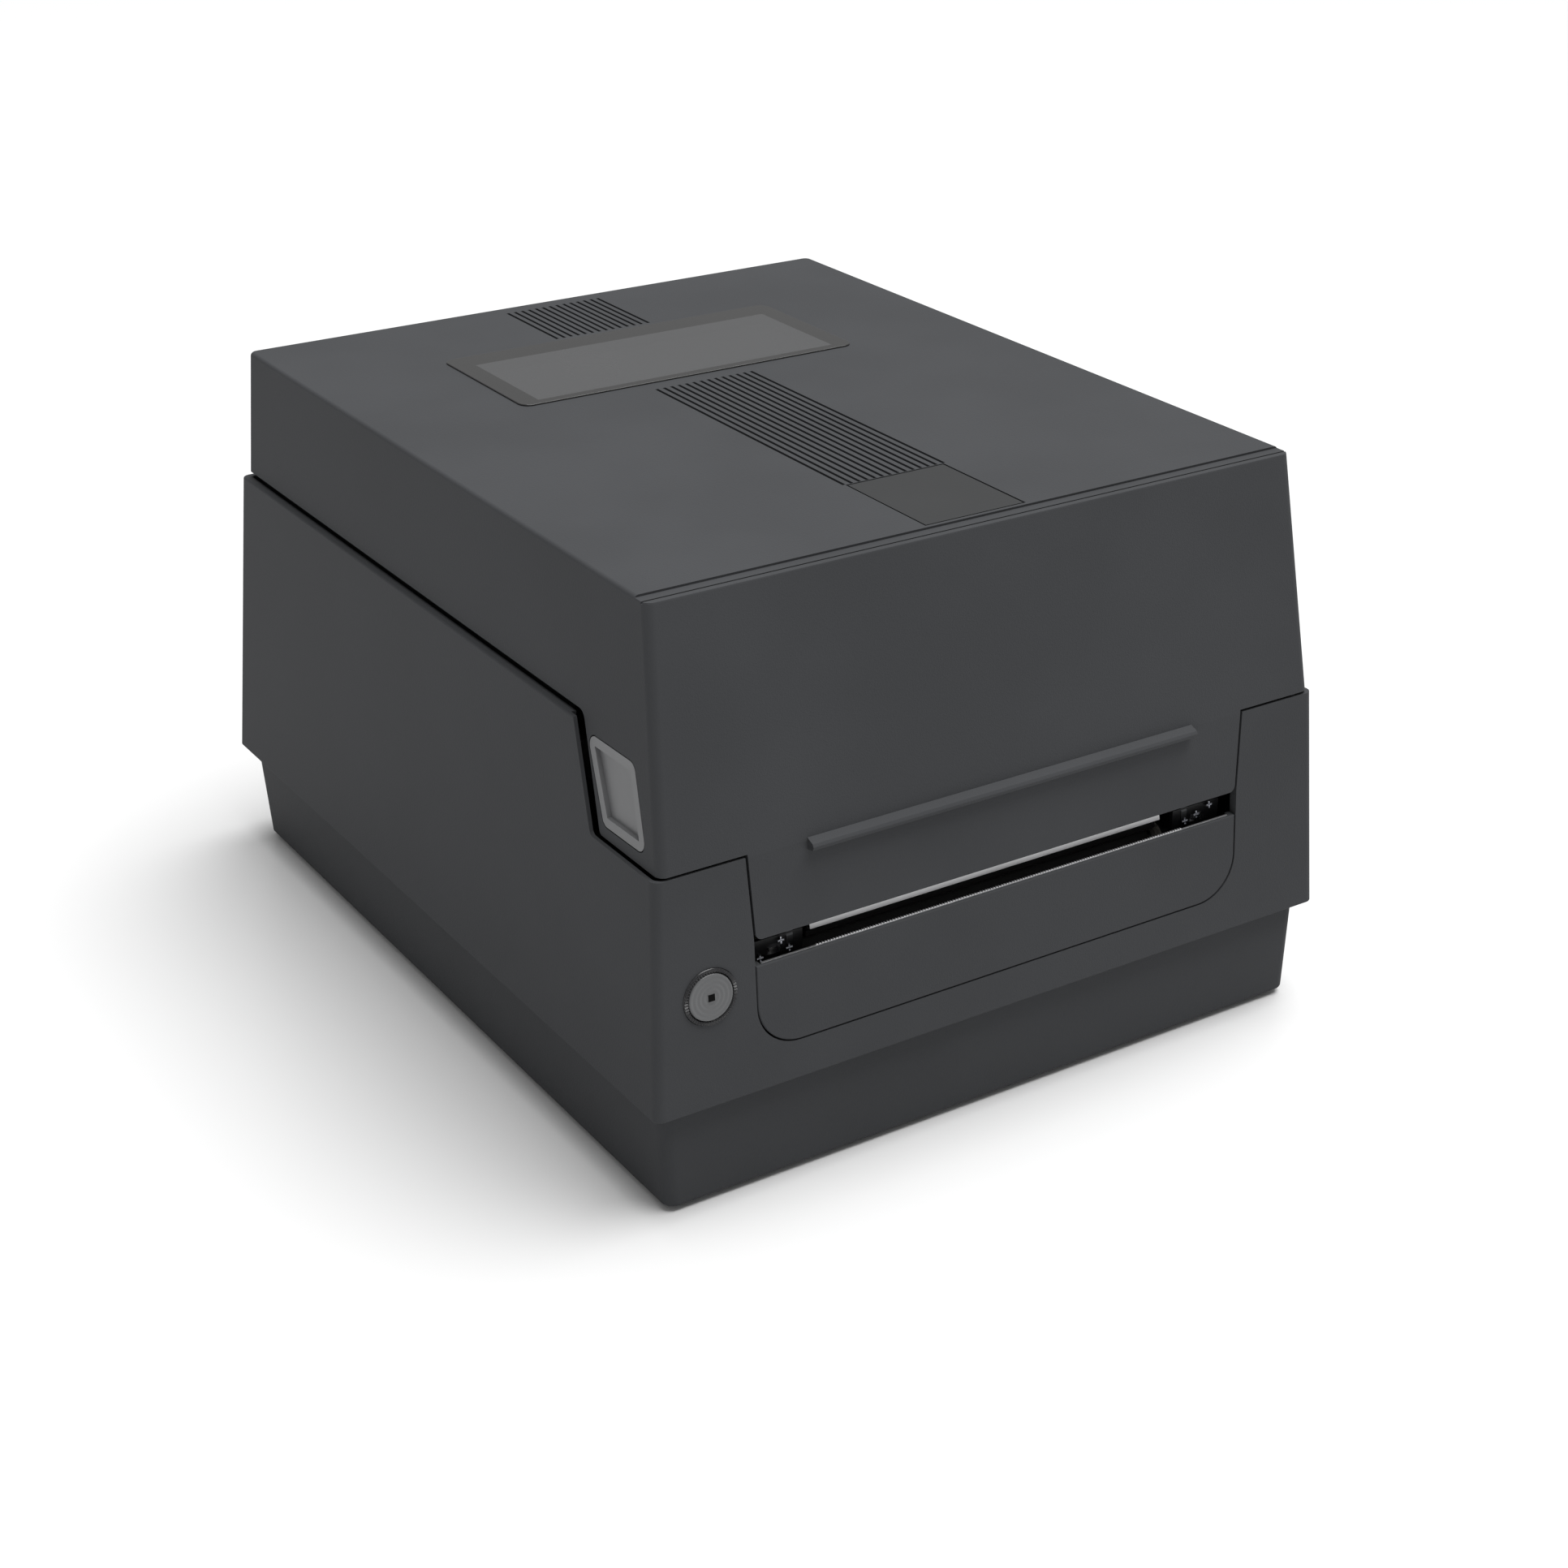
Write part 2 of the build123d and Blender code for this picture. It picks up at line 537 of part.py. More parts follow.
def make_media_bay():
    bay = prism_x(bay_side(BAY_T, DECK_Z), -BAY_HALF - BAY_T, BAY_HALF + BAY_T, {0: BAY_CORNER_R + BAY_T})
    deck = band_hull(DECK_Z - BAY_T, DECK_Z, inset=WALL + FIT, corner=CORNER_R)
    deck &= block(-WIDTH, WIDTH, DECK_FRONT_Y, DEPTH, 0, HEIGHT)
    deck -= block(-FRAME_X, FRAME_X, -DEPTH, 0, 0, HEIGHT)
    low = block(-WIDTH, WIDTH, -DEPTH, DECK_FRONT_Y + BAY_T, LOW_DECK_Z - BAY_T, LOW_DECK_Z)
    low += block(-WIDTH, WIDTH, DECK_FRONT_Y, DECK_FRONT_Y + BAY_T, LOW_DECK_Z - BAY_T, DECK_Z)
    low &= band_hull(LOW_DECK_Z - BAY_T, DECK_Z, inset=WALL + FIT, corner=CORNER_R)
    low -= block(-TONGUE_HALF - 3, TONGUE_HALF + 3, -DEPTH, BAY_LEDGE_Y, 0, HEIGHT)
    low -= block(-BAY_HALF, BAY_HALF, -DEPTH, 0, 0, HEIGHT)
    bay += deck + low
    bay -= prism_x(bay_side(0, HEIGHT), -BAY_HALF, BAY_HALF, {0: BAY_CORNER_R})
    hook_x = HOOK_X - HOOK_T / 2
    bay -= both_sides(block(hook_x - 8, WIDTH, HOOK_Y[0] - 1.5, HOOK_Y[1] + 1.5,
                            LOW_DECK_Z - 5, LOW_DECK_Z + 5))
    bay -= block(-FANFOLD_HALF, FANFOLD_HALF, 0, DEPTH, *FANFOLD_Z)
    slot = HOLDER_W / 2 + 1
    inner = HOLDER_X - HOLDER_TRAVEL - 1
    bay -= both_sides(block(inner, HOLDER_X + HOLDER_T + 2, ROLL_Y - slot, ROLL_Y + slot,
                            BAY_FLOOR - BAY_T - 1, BAY_FLOOR + 1))
    reach = SENSOR_TRAVEL + SENSOR_HALF + 1
    bay -= block(-reach, reach, SENSOR_RAIL_Y - SENSOR_SLOT - 0.4, SENSOR_RAIL_Y + SENSOR_SLOT + 0.4,
                 BAY_LEDGE_Z - BAY_T - 1, BAY_LEDGE_Z + 1)
    lug = block(reach + 3, reach + 7, SENSOR_RAIL_Y - 4, SENSOR_RAIL_Y + 4, SENSOR_RAIL_Z - 4, BAY_LEDGE_Z - 1)
    lug -= rod_x(reach, reach + 10, SENSOR_RAIL_Y, SENSOR_RAIL_Z, SENSOR_RAIL_R + TIGHT)
    bay += both_sides(lug)
    post = block(BAY_HALF + 0.5, BAY_HALF + 6, ROLL_Y - 20, ROLL_Y - 14, FLANGE_TOP + 8, BAY_FLOOR + 10)
    foot = block(BAY_HALF + 0.5, SIDE - FLANGE_IN + 4, ROLL_Y - 20, ROLL_Y - 14, FLANGE_TOP, FLANGE_TOP + 8)
    return bay + both_sides(post + foot)


def make_sensor_rail():
    reach = SENSOR_TRAVEL + SENSOR_HALF + 1
    return rod_x(-reach - 8, reach + 8, SENSOR_RAIL_Y, SENSOR_RAIL_Z, SENSOR_RAIL_R)


def make_media_sensor():
    carriage = block(-SENSOR_HALF, SENSOR_HALF, SENSOR_RAIL_Y - 4, SENSOR_RAIL_Y + 4,
                     SENSOR_RAIL_Z - 3.5, BAY_LEDGE_Z - BAY_T - NEAR)
    carriage += block(-SENSOR_HALF + 1, SENSOR_HALF - 1,
                      SENSOR_RAIL_Y - SENSOR_SLOT, SENSOR_RAIL_Y + SENSOR_SLOT,
                      SENSOR_RAIL_Z, BAY_LEDGE_Z)
    return carriage - rod_x(-20, 20, SENSOR_RAIL_Y, SENSOR_RAIL_Z, SENSOR_RAIL_R + RUN)


def make_roll_holder(side):
    """One roll holder: hub, arm, foot in the floor slot and its rack below the floor."""
    x = HOLDER_X
    arm = block(x, x + HOLDER_T, ROLL_Y - HOLDER_W / 2, ROLL_Y + HOLDER_W / 2, BAY_FLOOR - 4.5, ROLL_Z)
    arm += rod_x(x, x + HOLDER_T, ROLL_Y, ROLL_Z, HUB_R + 6)
    hub = rod_x(x - HUB_L, x, ROLL_Y, ROLL_Z, HUB_R)
    hub = fillet([e for e in hub.edges() if abs(e.center().X - (x - HUB_L)) < 0.01], 1.5)
    arm += hub
    rack_y = ROLL_Y + side * (RACK_R + 0.8 * GEAR_M + MESH_GAP)
    far_y = ROLL_Y + side * (RACK_R + 5.0)
    low, high = BAY_FLOOR - 8.5, BAY_FLOOR - 4.5
    end = -RACK_R - 2
    y0, y1 = sorted((rack_y + side * 1.2 * GEAR_M, far_y))
    rack = block(end, x + HOLDER_T, y0, y1, low, high)
    pitch = pi * GEAR_M
    base_y = rack_y + side * 1.3 * GEAR_M
    tip_y = ROLL_Y + side * (RACK_R - 0.8 * GEAR_M + MESH_GAP)
    root_y = ROLL_Y + side * (RACK_R + 1.2 * GEAR_M + MESH_GAP)
    plane = Plane.XY.offset(low)
    lowest = round((end + 0.3 * pitch) / pitch)
    for number in range(lowest, int(x / pitch)):
        middle = pitch * (number + 0.5)
        tooth = polygon([(middle - 0.3 * pitch, base_y), (middle - 0.3 * pitch, root_y),
                         (middle - 0.11 * pitch, tip_y), (middle + 0.11 * pitch, tip_y),
                         (middle + 0.3 * pitch, root_y), (middle + 0.3 * pitch, base_y)], plane)
        rack += extrude(tooth, high - low)
    foot = block(x, x + HOLDER_T, min(y0, ROLL_Y), max(y1, ROLL_Y), low, high)
    holder = arm + rack + foot
    return holder.mirror(Plane.YZ) if side < 0 else holder


def make_holder_pinion():
    pitch_r = RACK_R
    step = 2 * pi / RACK_TEETH
    outline = []
    for number in range(RACK_TEETH):
        middle = pi / 2 + number * step
        for radius, share in ((pitch_r - 1.2 * GEAR_M, -0.30), (pitch_r + 0.8 * GEAR_M, -0.11),
                              (pitch_r + 0.8 * GEAR_M, 0.11), (pitch_r - 1.2 * GEAR_M, 0.30)):
            angle = middle + share * step
            outline.append((radius * cos(angle), radius * sin(angle)))
    face = polygon(outline, Plane.XY.offset(BAY_FLOOR - 8.5))
    wheel = Pos(0, ROLL_Y, 0) * extrude(face, 4.0)
    return wheel - rod_z(0, BAY_FLOOR, 0, ROLL_Y, 1.5 + RUN)


def make_pinion_stud():
    return rod_z(BAY_FLOOR - 9.5, BAY_FLOOR - BAY_T, 0, ROLL_Y, 1.5) + \
        rod_z(BAY_FLOOR - 10.3, BAY_FLOOR - 8.8, 0, ROLL_Y, 2.6)


# ---------------------------------------------------------------- print mechanism in the body
TAB_END_X = FRAME_X + FRAME_T + 7     # bent tabs at the ends of the label slot
TAB_Z = SLOT_LOW - 1.2
TAB_SCREW_X = FRAME_X + FRAME_T + 3.6
TAB_SCREW_Y = PLATEN_Y - 10.3
FRAME_FRONT_Y = PLATEN_Y - 12.5
FRAME_BACK_Y = BAY_LEDGE_Y - 1.0
FRAME_BAR_Z = PLATEN_Z - PLATEN_R - 4.1


def make_platen_frame():
    plate = prism_x([(FRAME_FRONT_Y, FLANGE_TOP), (FRAME_BACK_Y, FLANGE_TOP), (FRAME_BACK_Y, SLOT_TOP + 3),
                     (FRAME_FRONT_Y + 12, SLOT_TOP + 7), (FRAME_FRONT_Y + 4, SLOT_TOP + 7),
                     (FRAME_FRONT_Y, SLOT_TOP - 5)], FRAME_X, FRAME_X + FRAME_T)
    plate -= rod_x(0, WIDTH, PLATEN_Y, PLATEN_Z, BUSH_R + TIGHT)
    frame = both_sides(plate)
    frame += block(-FRAME_X, FRAME_X, FRAME_FRONT_Y, FRAME_BACK_Y, FRAME_BAR_Z, FRAME_BAR_Z + FRAME_T)
    frame += both_sides(block(FRAME_X, TAB_END_X, FRAME_FRONT_Y, FRAME_FRONT_Y + 14,
                              FRAME_BAR_Z, FRAME_BAR_Z + FRAME_T))
    tab = block(FRAME_X + FRAME_T, TAB_END_X, TAB_SCREW_Y - 2.7, TAB_SCREW_Y + 2.6, TAB_Z - 1.5, TAB_Z)
    tab -= rod_z(TAB_Z - 5, TAB_Z + 5, TAB_SCREW_X, TAB_SCREW_Y, SCREW_R + RUN)
    return frame + both_sides(tab)


def make_platen_bushings():
    bush = rod_x(FRAME_X - 0.6, FRAME_X + FRAME_T + 0.6, PLATEN_Y, PLATEN_Z, BUSH_R)
    bush += rod_x(FRAME_X + FRAME_T, FRAME_X + FRAME_T + 1.2, PLATEN_Y, PLATEN_Z, BUSH_R + 1.5)
    bush -= rod_x(0, WIDTH, PLATEN_Y, PLATEN_Z, SHAFT_R + RUN)
    return both_sides(bush)


def make_platen_roller():
    return rod_x(-PLATEN_HALF, PLATEN_HALF, PLATEN_Y, PLATEN_Z, PLATEN_R) - \
        rod_x(-PLATEN_HALF - 1, PLATEN_HALF + 1, PLATEN_Y, PLATEN_Z, SHAFT_R)


def make_platen_shaft():
    return rod_x(GEAR_X - 1.2, FRAME_X + FRAME_T + 3, PLATEN_Y, PLATEN_Z, SHAFT_R)


def make_gear_plate():
    x1 = GEAR_X - GEAR_PLATE_T
    front, back = PLATEN_Y - 9.5, MOTOR_Y + MOTOR_SIDE / 2 + 1.5
    plate = prism_x([(front, FLANGE_TOP), (back - 6, FLANGE_TOP), (back, FLANGE_TOP + 10), (back, SLOT_TOP + 3),
                     (IDLER_Y - 9, SLOT_TOP + 9), (front, SLOT_TOP + 9)], x1 - GEAR_PLATE_T, x1)
    plate -= rod_x(-WIDTH, 0, PLATEN_Y, PLATEN_Z, SHAFT_R + 2)
    plate -= rod_x(-WIDTH, 0, IDLER_Y, IDLER_Z, STUD_R)
    plate -= rod_x(-WIDTH, 0, MOTOR_Y, MOTOR_Z, MOTOR_SHAFT_R + 3)
    return plate


def make_idler_stud():
    x1 = GEAR_X - GEAR_PLATE_T
    return rod_x(x1 - GEAR_PLATE_T, GEAR_X + GEAR_W + 0.3, IDLER_Y, IDLER_Z, STUD_R) + \
        rod_x(x1, GEAR_X - 0.4, IDLER_Y, IDLER_Z, STUD_R + 1.4)


def make_idler_gear():
    return gear(GEAR_X, GEAR_X + GEAR_W, IDLER_Y, IDLER_Z, IDLER_TEETH, STUD_R + RUN, IDLER_PHASE)


def make_motor():
    x1 = GEAR_X - 2 * GEAR_PLATE_T
    half = MOTOR_SIDE / 2
    can = block(x1 - MOTOR_LONG, x1, MOTOR_Y - half, MOTOR_Y + half, MOTOR_Z - half, MOTOR_Z + half)
    can = chamfer([e for e in can.edges() if abs(e.tangent_at(0.5).X) > 0.9], 3.0)
    can += rod_x(x1, x1 + 1.5, MOTOR_Y, MOTOR_Z, MOTOR_SHAFT_R + 2.8)
    return can - rod_x(x1 - 6, x1 + 3, MOTOR_Y, MOTOR_Z, MOTOR_SHAFT_R + RUN)


def make_motor_pinion():
    pinion = gear(GEAR_X, GEAR_X + GEAR_W, MOTOR_Y, MOTOR_Z, MOTOR_TEETH, MOTOR_SHAFT_R - 0.5, MOTOR_PHASE)
    return pinion + rod_x(GEAR_X - 8, GEAR_X + GEAR_W, MOTOR_Y, MOTOR_Z, MOTOR_SHAFT_R)


def make_striker_plates():
    x1 = band_half(STRIKER_Z) - WALL - NEAR
    plate = block(x1 - STRIKER_IN, x1, HOOK_Y[0] - 1, HOOK_Y[1] + 1, STRIKER_Z - STRIKER_T, STRIKER_Z)
    return both_sides(plate)


# ---------------------------------------------------------------- button and switch
def make_button_ring():
    return button_plane * Pos(0, 0, -1.2) * (Cylinder(RING_R, 3.6) - Cylinder(BUTTON_R + 0.25, 6))


def make_feed_button():
    cap = Pos(0, 0, -0.9) * Cylinder(BUTTON_R, 3.4)
    cap = fillet(edges_at(cap, 0.8), 0.6)
    cap -= Pos(0, 0, 0.8) * Box(1.6, 1.6, 0.8)
    for radius in BUTTON_RINGS:
        cap -= Pos(0, 0, 0.8) * (Cylinder(radius + 0.15, 0.3) - Cylinder(radius - 0.15, 0.3))
    cap += Pos(0, 0, -4.6) * Cylinder(2.0, 4.0)
    return button_plane * cap


def make_button_board():
    face = -10.7                    # the board's front face, behind the case's surface
    switch_w, switch_t, pad_t = 6.2, 3.0, 0.1
    post_x, post_y, post_r = 6.5, 9.5, 1.6
    board = Pos(0, 0, face - BOARD_T / 2) * Box(18, 24, BOARD_T)
    board += Pos(0, 0, face + switch_t / 2) * Box(switch_w, switch_w, switch_t)
    board += Pos(0, 0, face + switch_t - pad_t / 2 + 0.03) * Cylinder(1.7, pad_t)
    length = -face - WALL - 0.1
    for x, y in ((-post_x, post_y), (post_x, -post_y), (-post_x, -post_y), (post_x, post_y)):
        board += Pos(x, y, face + length / 2) * Cylinder(post_r, length)
    return button_plane * board


def make_switch_housing():
    body = Pos(0, 0, -6) * Box(SWITCH_W, SWITCH_H, 13.0)
    body += Pos(0, 0, 0.5) * Box(SWITCH_W + 2.4, SWITCH_H + 2.4, 1.0)
    body = fillet([e for e in body.edges() if abs(e.center().Z - 1.0) < 0.01], 0.4)
    body -= Pos(0, 0, -2) * Box(SWITCH_W - 3, SWITCH_H - 3, 7.0)
    body -= Rot(0, 90, 0) * Cylinder(0.8 + RUN, SWITCH_W - 1.4)
    return switch_plane * body


def make_power_rocker():
    half = SWITCH_H / 2 - 2.4
    outline = [(-half, 1.2), (0.0, -0.1), (half, 1.2), (half * 0.55, -3.2), (-half * 0.55, -3.2)]
    plane = Plane(origin=(-(SWITCH_W - 4) / 2, 0, 0), x_dir=(0, 1, 0), z_dir=(1, 0, 0))
    rocker = extrude(polygon(outline, plane), SWITCH_W - 4)
    rocker += Rot(0, 90, 0) * Cylinder(0.8, SWITCH_W - 1.8)
    rocker += Rot(0, 90, 0) * Cylinder(1.6, SWITCH_W - 4)
    return switch_plane * Rot(ROCKER_TILT, 0, 0) * rocker


# ---------------------------------------------------------------- main board
def make_main_board():
    board = block(BOARD_X[0], BOARD_X[1], BOARD_Y[0], BOARD_Y[1], BOARD_Z, BOARD_TOP)
    for x, y in BOARD_SCREW_SPOTS:
        board -= rod_z(BOARD_Z - 1, BOARD_TOP + 1, x, y, SCREW_R + FIT)
    return board


def make_board_components():
    top = BOARD_TOP
    left, right = BOARD_X
    near = BOARD_Y[0]
    chips = [block(-20, 2, near + 38, near + 60, top, top + 1.6),
             block(left + 36, left + 48, near + 40, near + 58, top, top + 1.2),
             block(20, 34, near + 36, near + 42, top, top + 2.2),
             block(left + 24, left + 54, near + 6, near + 14, top, top + 8),
             block(right - 80, right - 40, near + 6, near + 14, top, top + 8),
             rod_z(top, top + 13, right - 34, near + 62, 5), rod_z(top, top + 13, right - 20, near + 62, 5),
             rod_z(top, top + 10, right - 34, near + 46, 4),
             block(right - 24, right - 10, near + 34, near + 48, top, top + 7),
             block(left + 12, left + 22, near + 48, near + 70, top, top + 5)]
    group = chips[0]
    for chip in chips[1:]:
        group += chip
    return group


def make_port(name):
    x, width, height = PORTS[name]
    y1 = base_back(BOARD_TOP + height / 2) - 0.4
    y0 = BOARD_Y[1] - 12
    z0, z1 = BOARD_TOP, BOARD_TOP + height
    body = block(x - width / 2, x + width / 2, y0, y1, z0, z1)
    mid = (z0 + z1) / 2
    if name == "dc_inlet":
        body -= rod_y(y1 - 8, y1 + 1, x, mid, 3.2)
        body += rod_y(y1 - 9, y1 - 0.5, x, mid, 1.0)
    elif name == "usb_port":
        body -= block(x - 4.4, x + 4.4, y1 - 8, y1 + 1, mid - 4, mid + 4)
        body += block(x - 2.8, x + 2.8, y1 - 9, y1 - 1, mid - 1.6, mid + 1.6)
    elif name == "lan_port":
        body -= block(x - 6, x + 6, y1 - 9, y1 + 1, mid - 5, mid + 2.6)
        body -= block(x - 2.4, x + 2.4, y1 - 9, y1 + 1, mid, mid + 5)
    else:
        shell = prism_y([(x - 8.4, mid + 4.2), (x - 7, mid - 4.2), (x + 7, mid - 4.2), (x + 8.4, mid + 4.2)],
                        y1 - 6, y1 + 1, {0: 1.6, 1: 1.6, 2: 1.6, 3: 1.6})
        core = prism_y([(x - 7.2, mid + 3.2), (x - 6, mid - 3.2), (x + 6, mid - 3.2), (x + 7.2, mid + 3.2)],
                       y1 - 7, y1 - 1, {0: 1.2, 1: 1.2, 2: 1.2, 3: 1.2})
        body = body - shell + core
        for side in (-1, 1):
            body += rod_y(y1 - 3, y1 + 0.2, x + side * 12.5, mid, 2.4)
    return body


def make_board_screws():
    screws = None
    for x, y in BOARD_SCREW_SPOTS:
        one = screw(x, y, BOARD_TOP, 6)
        screws = one if screws is None else screws + one
    return screws


def make_frame_screws():
    return both_sides(screw(TAB_SCREW_X, TAB_SCREW_Y, TAB_Z, 8))


# ---------------------------------------------------------------- lid
def tab_prism(grow, x0, x1):
    """The release tab's outline, on the right-hand side, widened by grow."""
    corners = list(zip(TAB_TOP_Y + TAB_LOW_Y[::-1], TAB_TOP_Z + TAB_LOW_Z[::-1]))
    face = make_face(Polyline(*corners, close=True))
    face = fillet(face.vertices(), TAB_R)
    if grow:
        face = offset(face, amount=grow)
    return extrude(Plane.YZ.offset(x0) * face, x1 - x0)


def make_hinge_pins():
    return both_sides(rod_x(BARREL_X[0] + 0.5, BARREL_X[3] - 0.5, HINGE_Y, HINGE_Z, HINGE_PIN_R))


def lid_underside():
    """Everything below the lid's stepped lower edge, seen from the side."""
    low = POST_TOP + POST_GAP
    high = BAND_TOP + LID_GAP
    lean = (SLANT_TOP_Y - SLANT_LOW_Y) / (BAND_TOP - POST_TOP)
    low_y = SLANT_LOW_Y + (low - POST_TOP) * lean - SLANT_GAP
    high_y = SLANT_LOW_Y + (high - POST_TOP) * lean - SLANT_GAP
    return prism_x([(-DEPTH, low), (low_y, low), (high_y, high), (DEPTH, high), (DEPTH, 0), (-DEPTH, 0)],
                   -WIDTH, WIDTH, {1: 1.5, 2: 3.0})


def lid_grooves():
    """Ribbed strips before and behind the window."""
    pitch = RIB_SPAN / (RIB_COUNT - 1)
    cuts = []
    for y0, y1 in (RIB_FRONT, RIB_BACK):
        for number in range(RIB_COUNT):
            x = -RIB_SPAN / 2 + number * pitch
            cuts.append(block(x - RIB_W / 2, x + RIB_W / 2, y0, y1, HEIGHT - RIB_DEEP, HEIGHT + 1))
    return cuts


def rounded_pan(half, y0, y1, z0, z1, radius):
    return Pos(0, (y0 + y1) / 2, z0) * extrude(RectangleRounded(2 * half, y1 - y0, radius), z1 - z0)


def make_lid_shell():
    shell = lid_hull(SLOT_TOP - 10, HEIGHT, corner=CORNER_R)
    shell = fillet(edges_at(shell, HEIGHT), EDGE_R)
    shell -= lid_underside()
    shell -= lid_hull(SLOT_TOP - 12, HEIGHT - WALL, inset=WALL, corner=CORNER_R - 1.5)
    tongue = front_slab(SLOT_TOP, POST_TOP + 3, 0, WALL)
    tongue &= prism_y([(-TONGUE_HALF + SEAM, POST_TOP + 2.6), (-SLOT_HALF + SEAM, SLOT_TOP),
                       (SLOT_HALF - SEAM, SLOT_TOP), (TONGUE_HALF - SEAM, POST_TOP + 2.6)],
                      -DEPTH, 0, {1: 2.0, 2: 2.0})
    crease = band_front(POST_TOP)
    front_air = prism_x([(-DEPTH, POST_TOP - 0.2), (crease, POST_TOP), (lid_front(HEIGHT), HEIGHT),
                         (-DEPTH, HEIGHT)], -WIDTH, WIDTH)
    shell += tongue - front_air
    nose = crease - LIP_OUT
    shell += prism_x([(crease + 1.2, POST_TOP - 2.8), (nose + 0.5, POST_TOP - 2.2), (nose, POST_TOP - 1.1),
                      (nose + 0.6, POST_TOP - 0.2), (crease + 1.4, POST_TOP + 1.2)],
                     -LIP_HALF, LIP_HALF, {1: 0.5, 2: 0.5, 3: 0.4})
    shell -= rounded_pan(PANE_HALF, *PANE_Y, HEIGHT - WALL - 1, HEIGHT + 1, 2.0)
    edge = PLATE_SEAM / 2
    shell -= block(-PLATE_HALF - edge, PLATE_HALF + edge, PLATE_Y[0] - edge, PLATE_Y[1] + edge,
                   HEIGHT - PLATE_T, HEIGHT + 1)
    shell -= lid_grooves()
    step = HEIGHT - EDGE_STRIP_DEEP
    shell -= block(-WIDTH, WIDTH, -DEPTH, EDGE_STRIP_Y, step, HEIGHT + 1)
    shell -= block(-WIDTH, WIDTH, EDGE_GROOVE_Y, EDGE_GROOVE_Y + 0.6, step - 0.6, HEIGHT + 1)
    shell -= both_sides(tab_prism(SEAM, SIDE / 2, SIDE))
    arm = prism_x([(HINGE_Y - 5.2, HINGE_Z + 2.4), (HINGE_Y, HINGE_Z + BARREL_R),
                   (HINGE_Y + BARREL_R - 0.6, HINGE_Z + 1.2),
                   (HINGE_Y - 1.5, HINGE_Z + 14), (HINGE_Y - 5.2, HINGE_Z + 14)],
                  BARREL_X[1] + NEAR, BARREL_X[2] - NEAR)
    shell += both_sides(arm + rod_x(BARREL_X[1] + NEAR, BARREL_X[2] - NEAR, HINGE_Y, HINGE_Z, BARREL_R))
    for left, right in ((BARREL_X[0], BARREL_X[1]), (BARREL_X[2], BARREL_X[3])):
        shell -= both_sides(rod_x(left - NEAR, right + NEAR, HINGE_Y, HINGE_Z, BARREL_R + 0.8))
    return shell - both_sides(rod_x(BARREL_X[0], BARREL_X[3], HINGE_Y, HINGE_Z, HINGE_PIN_R + RUN))


LINER_T = 1.8
LINER_IN = WALL + 0.4
LINER_LOW = BAND_TOP - 5.0
LINER_FRONT_Y = TAKEUP_Y + 12.0
LINER_RAIL_Y = RIBBON_BACK_Y + 10.0


def make_lid_liner():
    ring = lid_hull(LINER_LOW, HEIGHT - WALL - FIT, inset=LINER_IN, corner=1.5)
    ring -= lid_hull(LINER_LOW - 1, HEIGHT, inset=LINER_IN + LINER_T, corner=1)
    ring &= block(-WIDTH, WIDTH, LINER_FRONT_Y, DEPTH, 0, HEIGHT)
    reach = lid_half(HEIGHT) - LINER_IN - 0.5
    rail = block(-reach, reach, LINER_RAIL_Y, LINER_RAIL_Y + 2, HEIGHT - 19, HEIGHT - WALL - FIT)
    return ring + rail


def make_window_pane():
    """A clear plate bonded to the lid's top, with a plug that fills the opening."""
    plate = rounded_pan(WINDOW_HALF, *WINDOW_Y, HEIGHT, HEIGHT + WINDOW_PROUD, WINDOW_R)
    plate = fillet(edges_at(plate, HEIGHT + WINDOW_PROUD), WINDOW_PROUD / 2)
    plug = rounded_pan(PANE_HALF - FIT, PANE_Y[0] + FIT, PANE_Y[1] - FIT, HEIGHT - WALL - 0.2, HEIGHT, 1.9)
    return plate + plug


def make_name_plate():
    edge = PLATE_SEAM / 2
    return block(-PLATE_HALF + edge, PLATE_HALF - edge, PLATE_Y[0] + edge, PLATE_Y[1] - edge,
                 HEIGHT - PLATE_T, HEIGHT - 0.05)


PEG_Z = (TAB_TOP_Z[0] - 19.1, TAB_TOP_Z[0] - 15.1)    # the tab's peg, which pushes the hook


def make_release(side):
    low, high = TAB_LOW_Z[0] - 10, TAB_TOP_Z[1] + 10
    tab = tab_prism(0, SIDE / 2, SIDE)
    tab &= lid_hull(low, high) - lid_hull(low, high, inset=TAB_T)
    dish = tab_prism(-TAB_RIM, SIDE / 2, SIDE)
    tab -= dish & (lid_hull(low, high, inset=-1) - lid_hull(low, high, inset=TAB_DISH))
    flange = tab_prism(1.2, SIDE / 2, SIDE)
    tab += flange & (lid_hull(low, high, inset=WALL + NEAR) - lid_hull(low, high, inset=TAB_T))
    mid_y = (HOOK_Y[0] + HOOK_Y[1]) / 2
    inner = lid_half(PEG_Z[0]) - TAB_T + 0.5
    tab += block(HOOK_X + HOOK_T / 2 + NEAR, inner, mid_y - 3, mid_y + 3, *PEG_Z)
    return tab.mirror(Plane.YZ) if side < 0 else tab


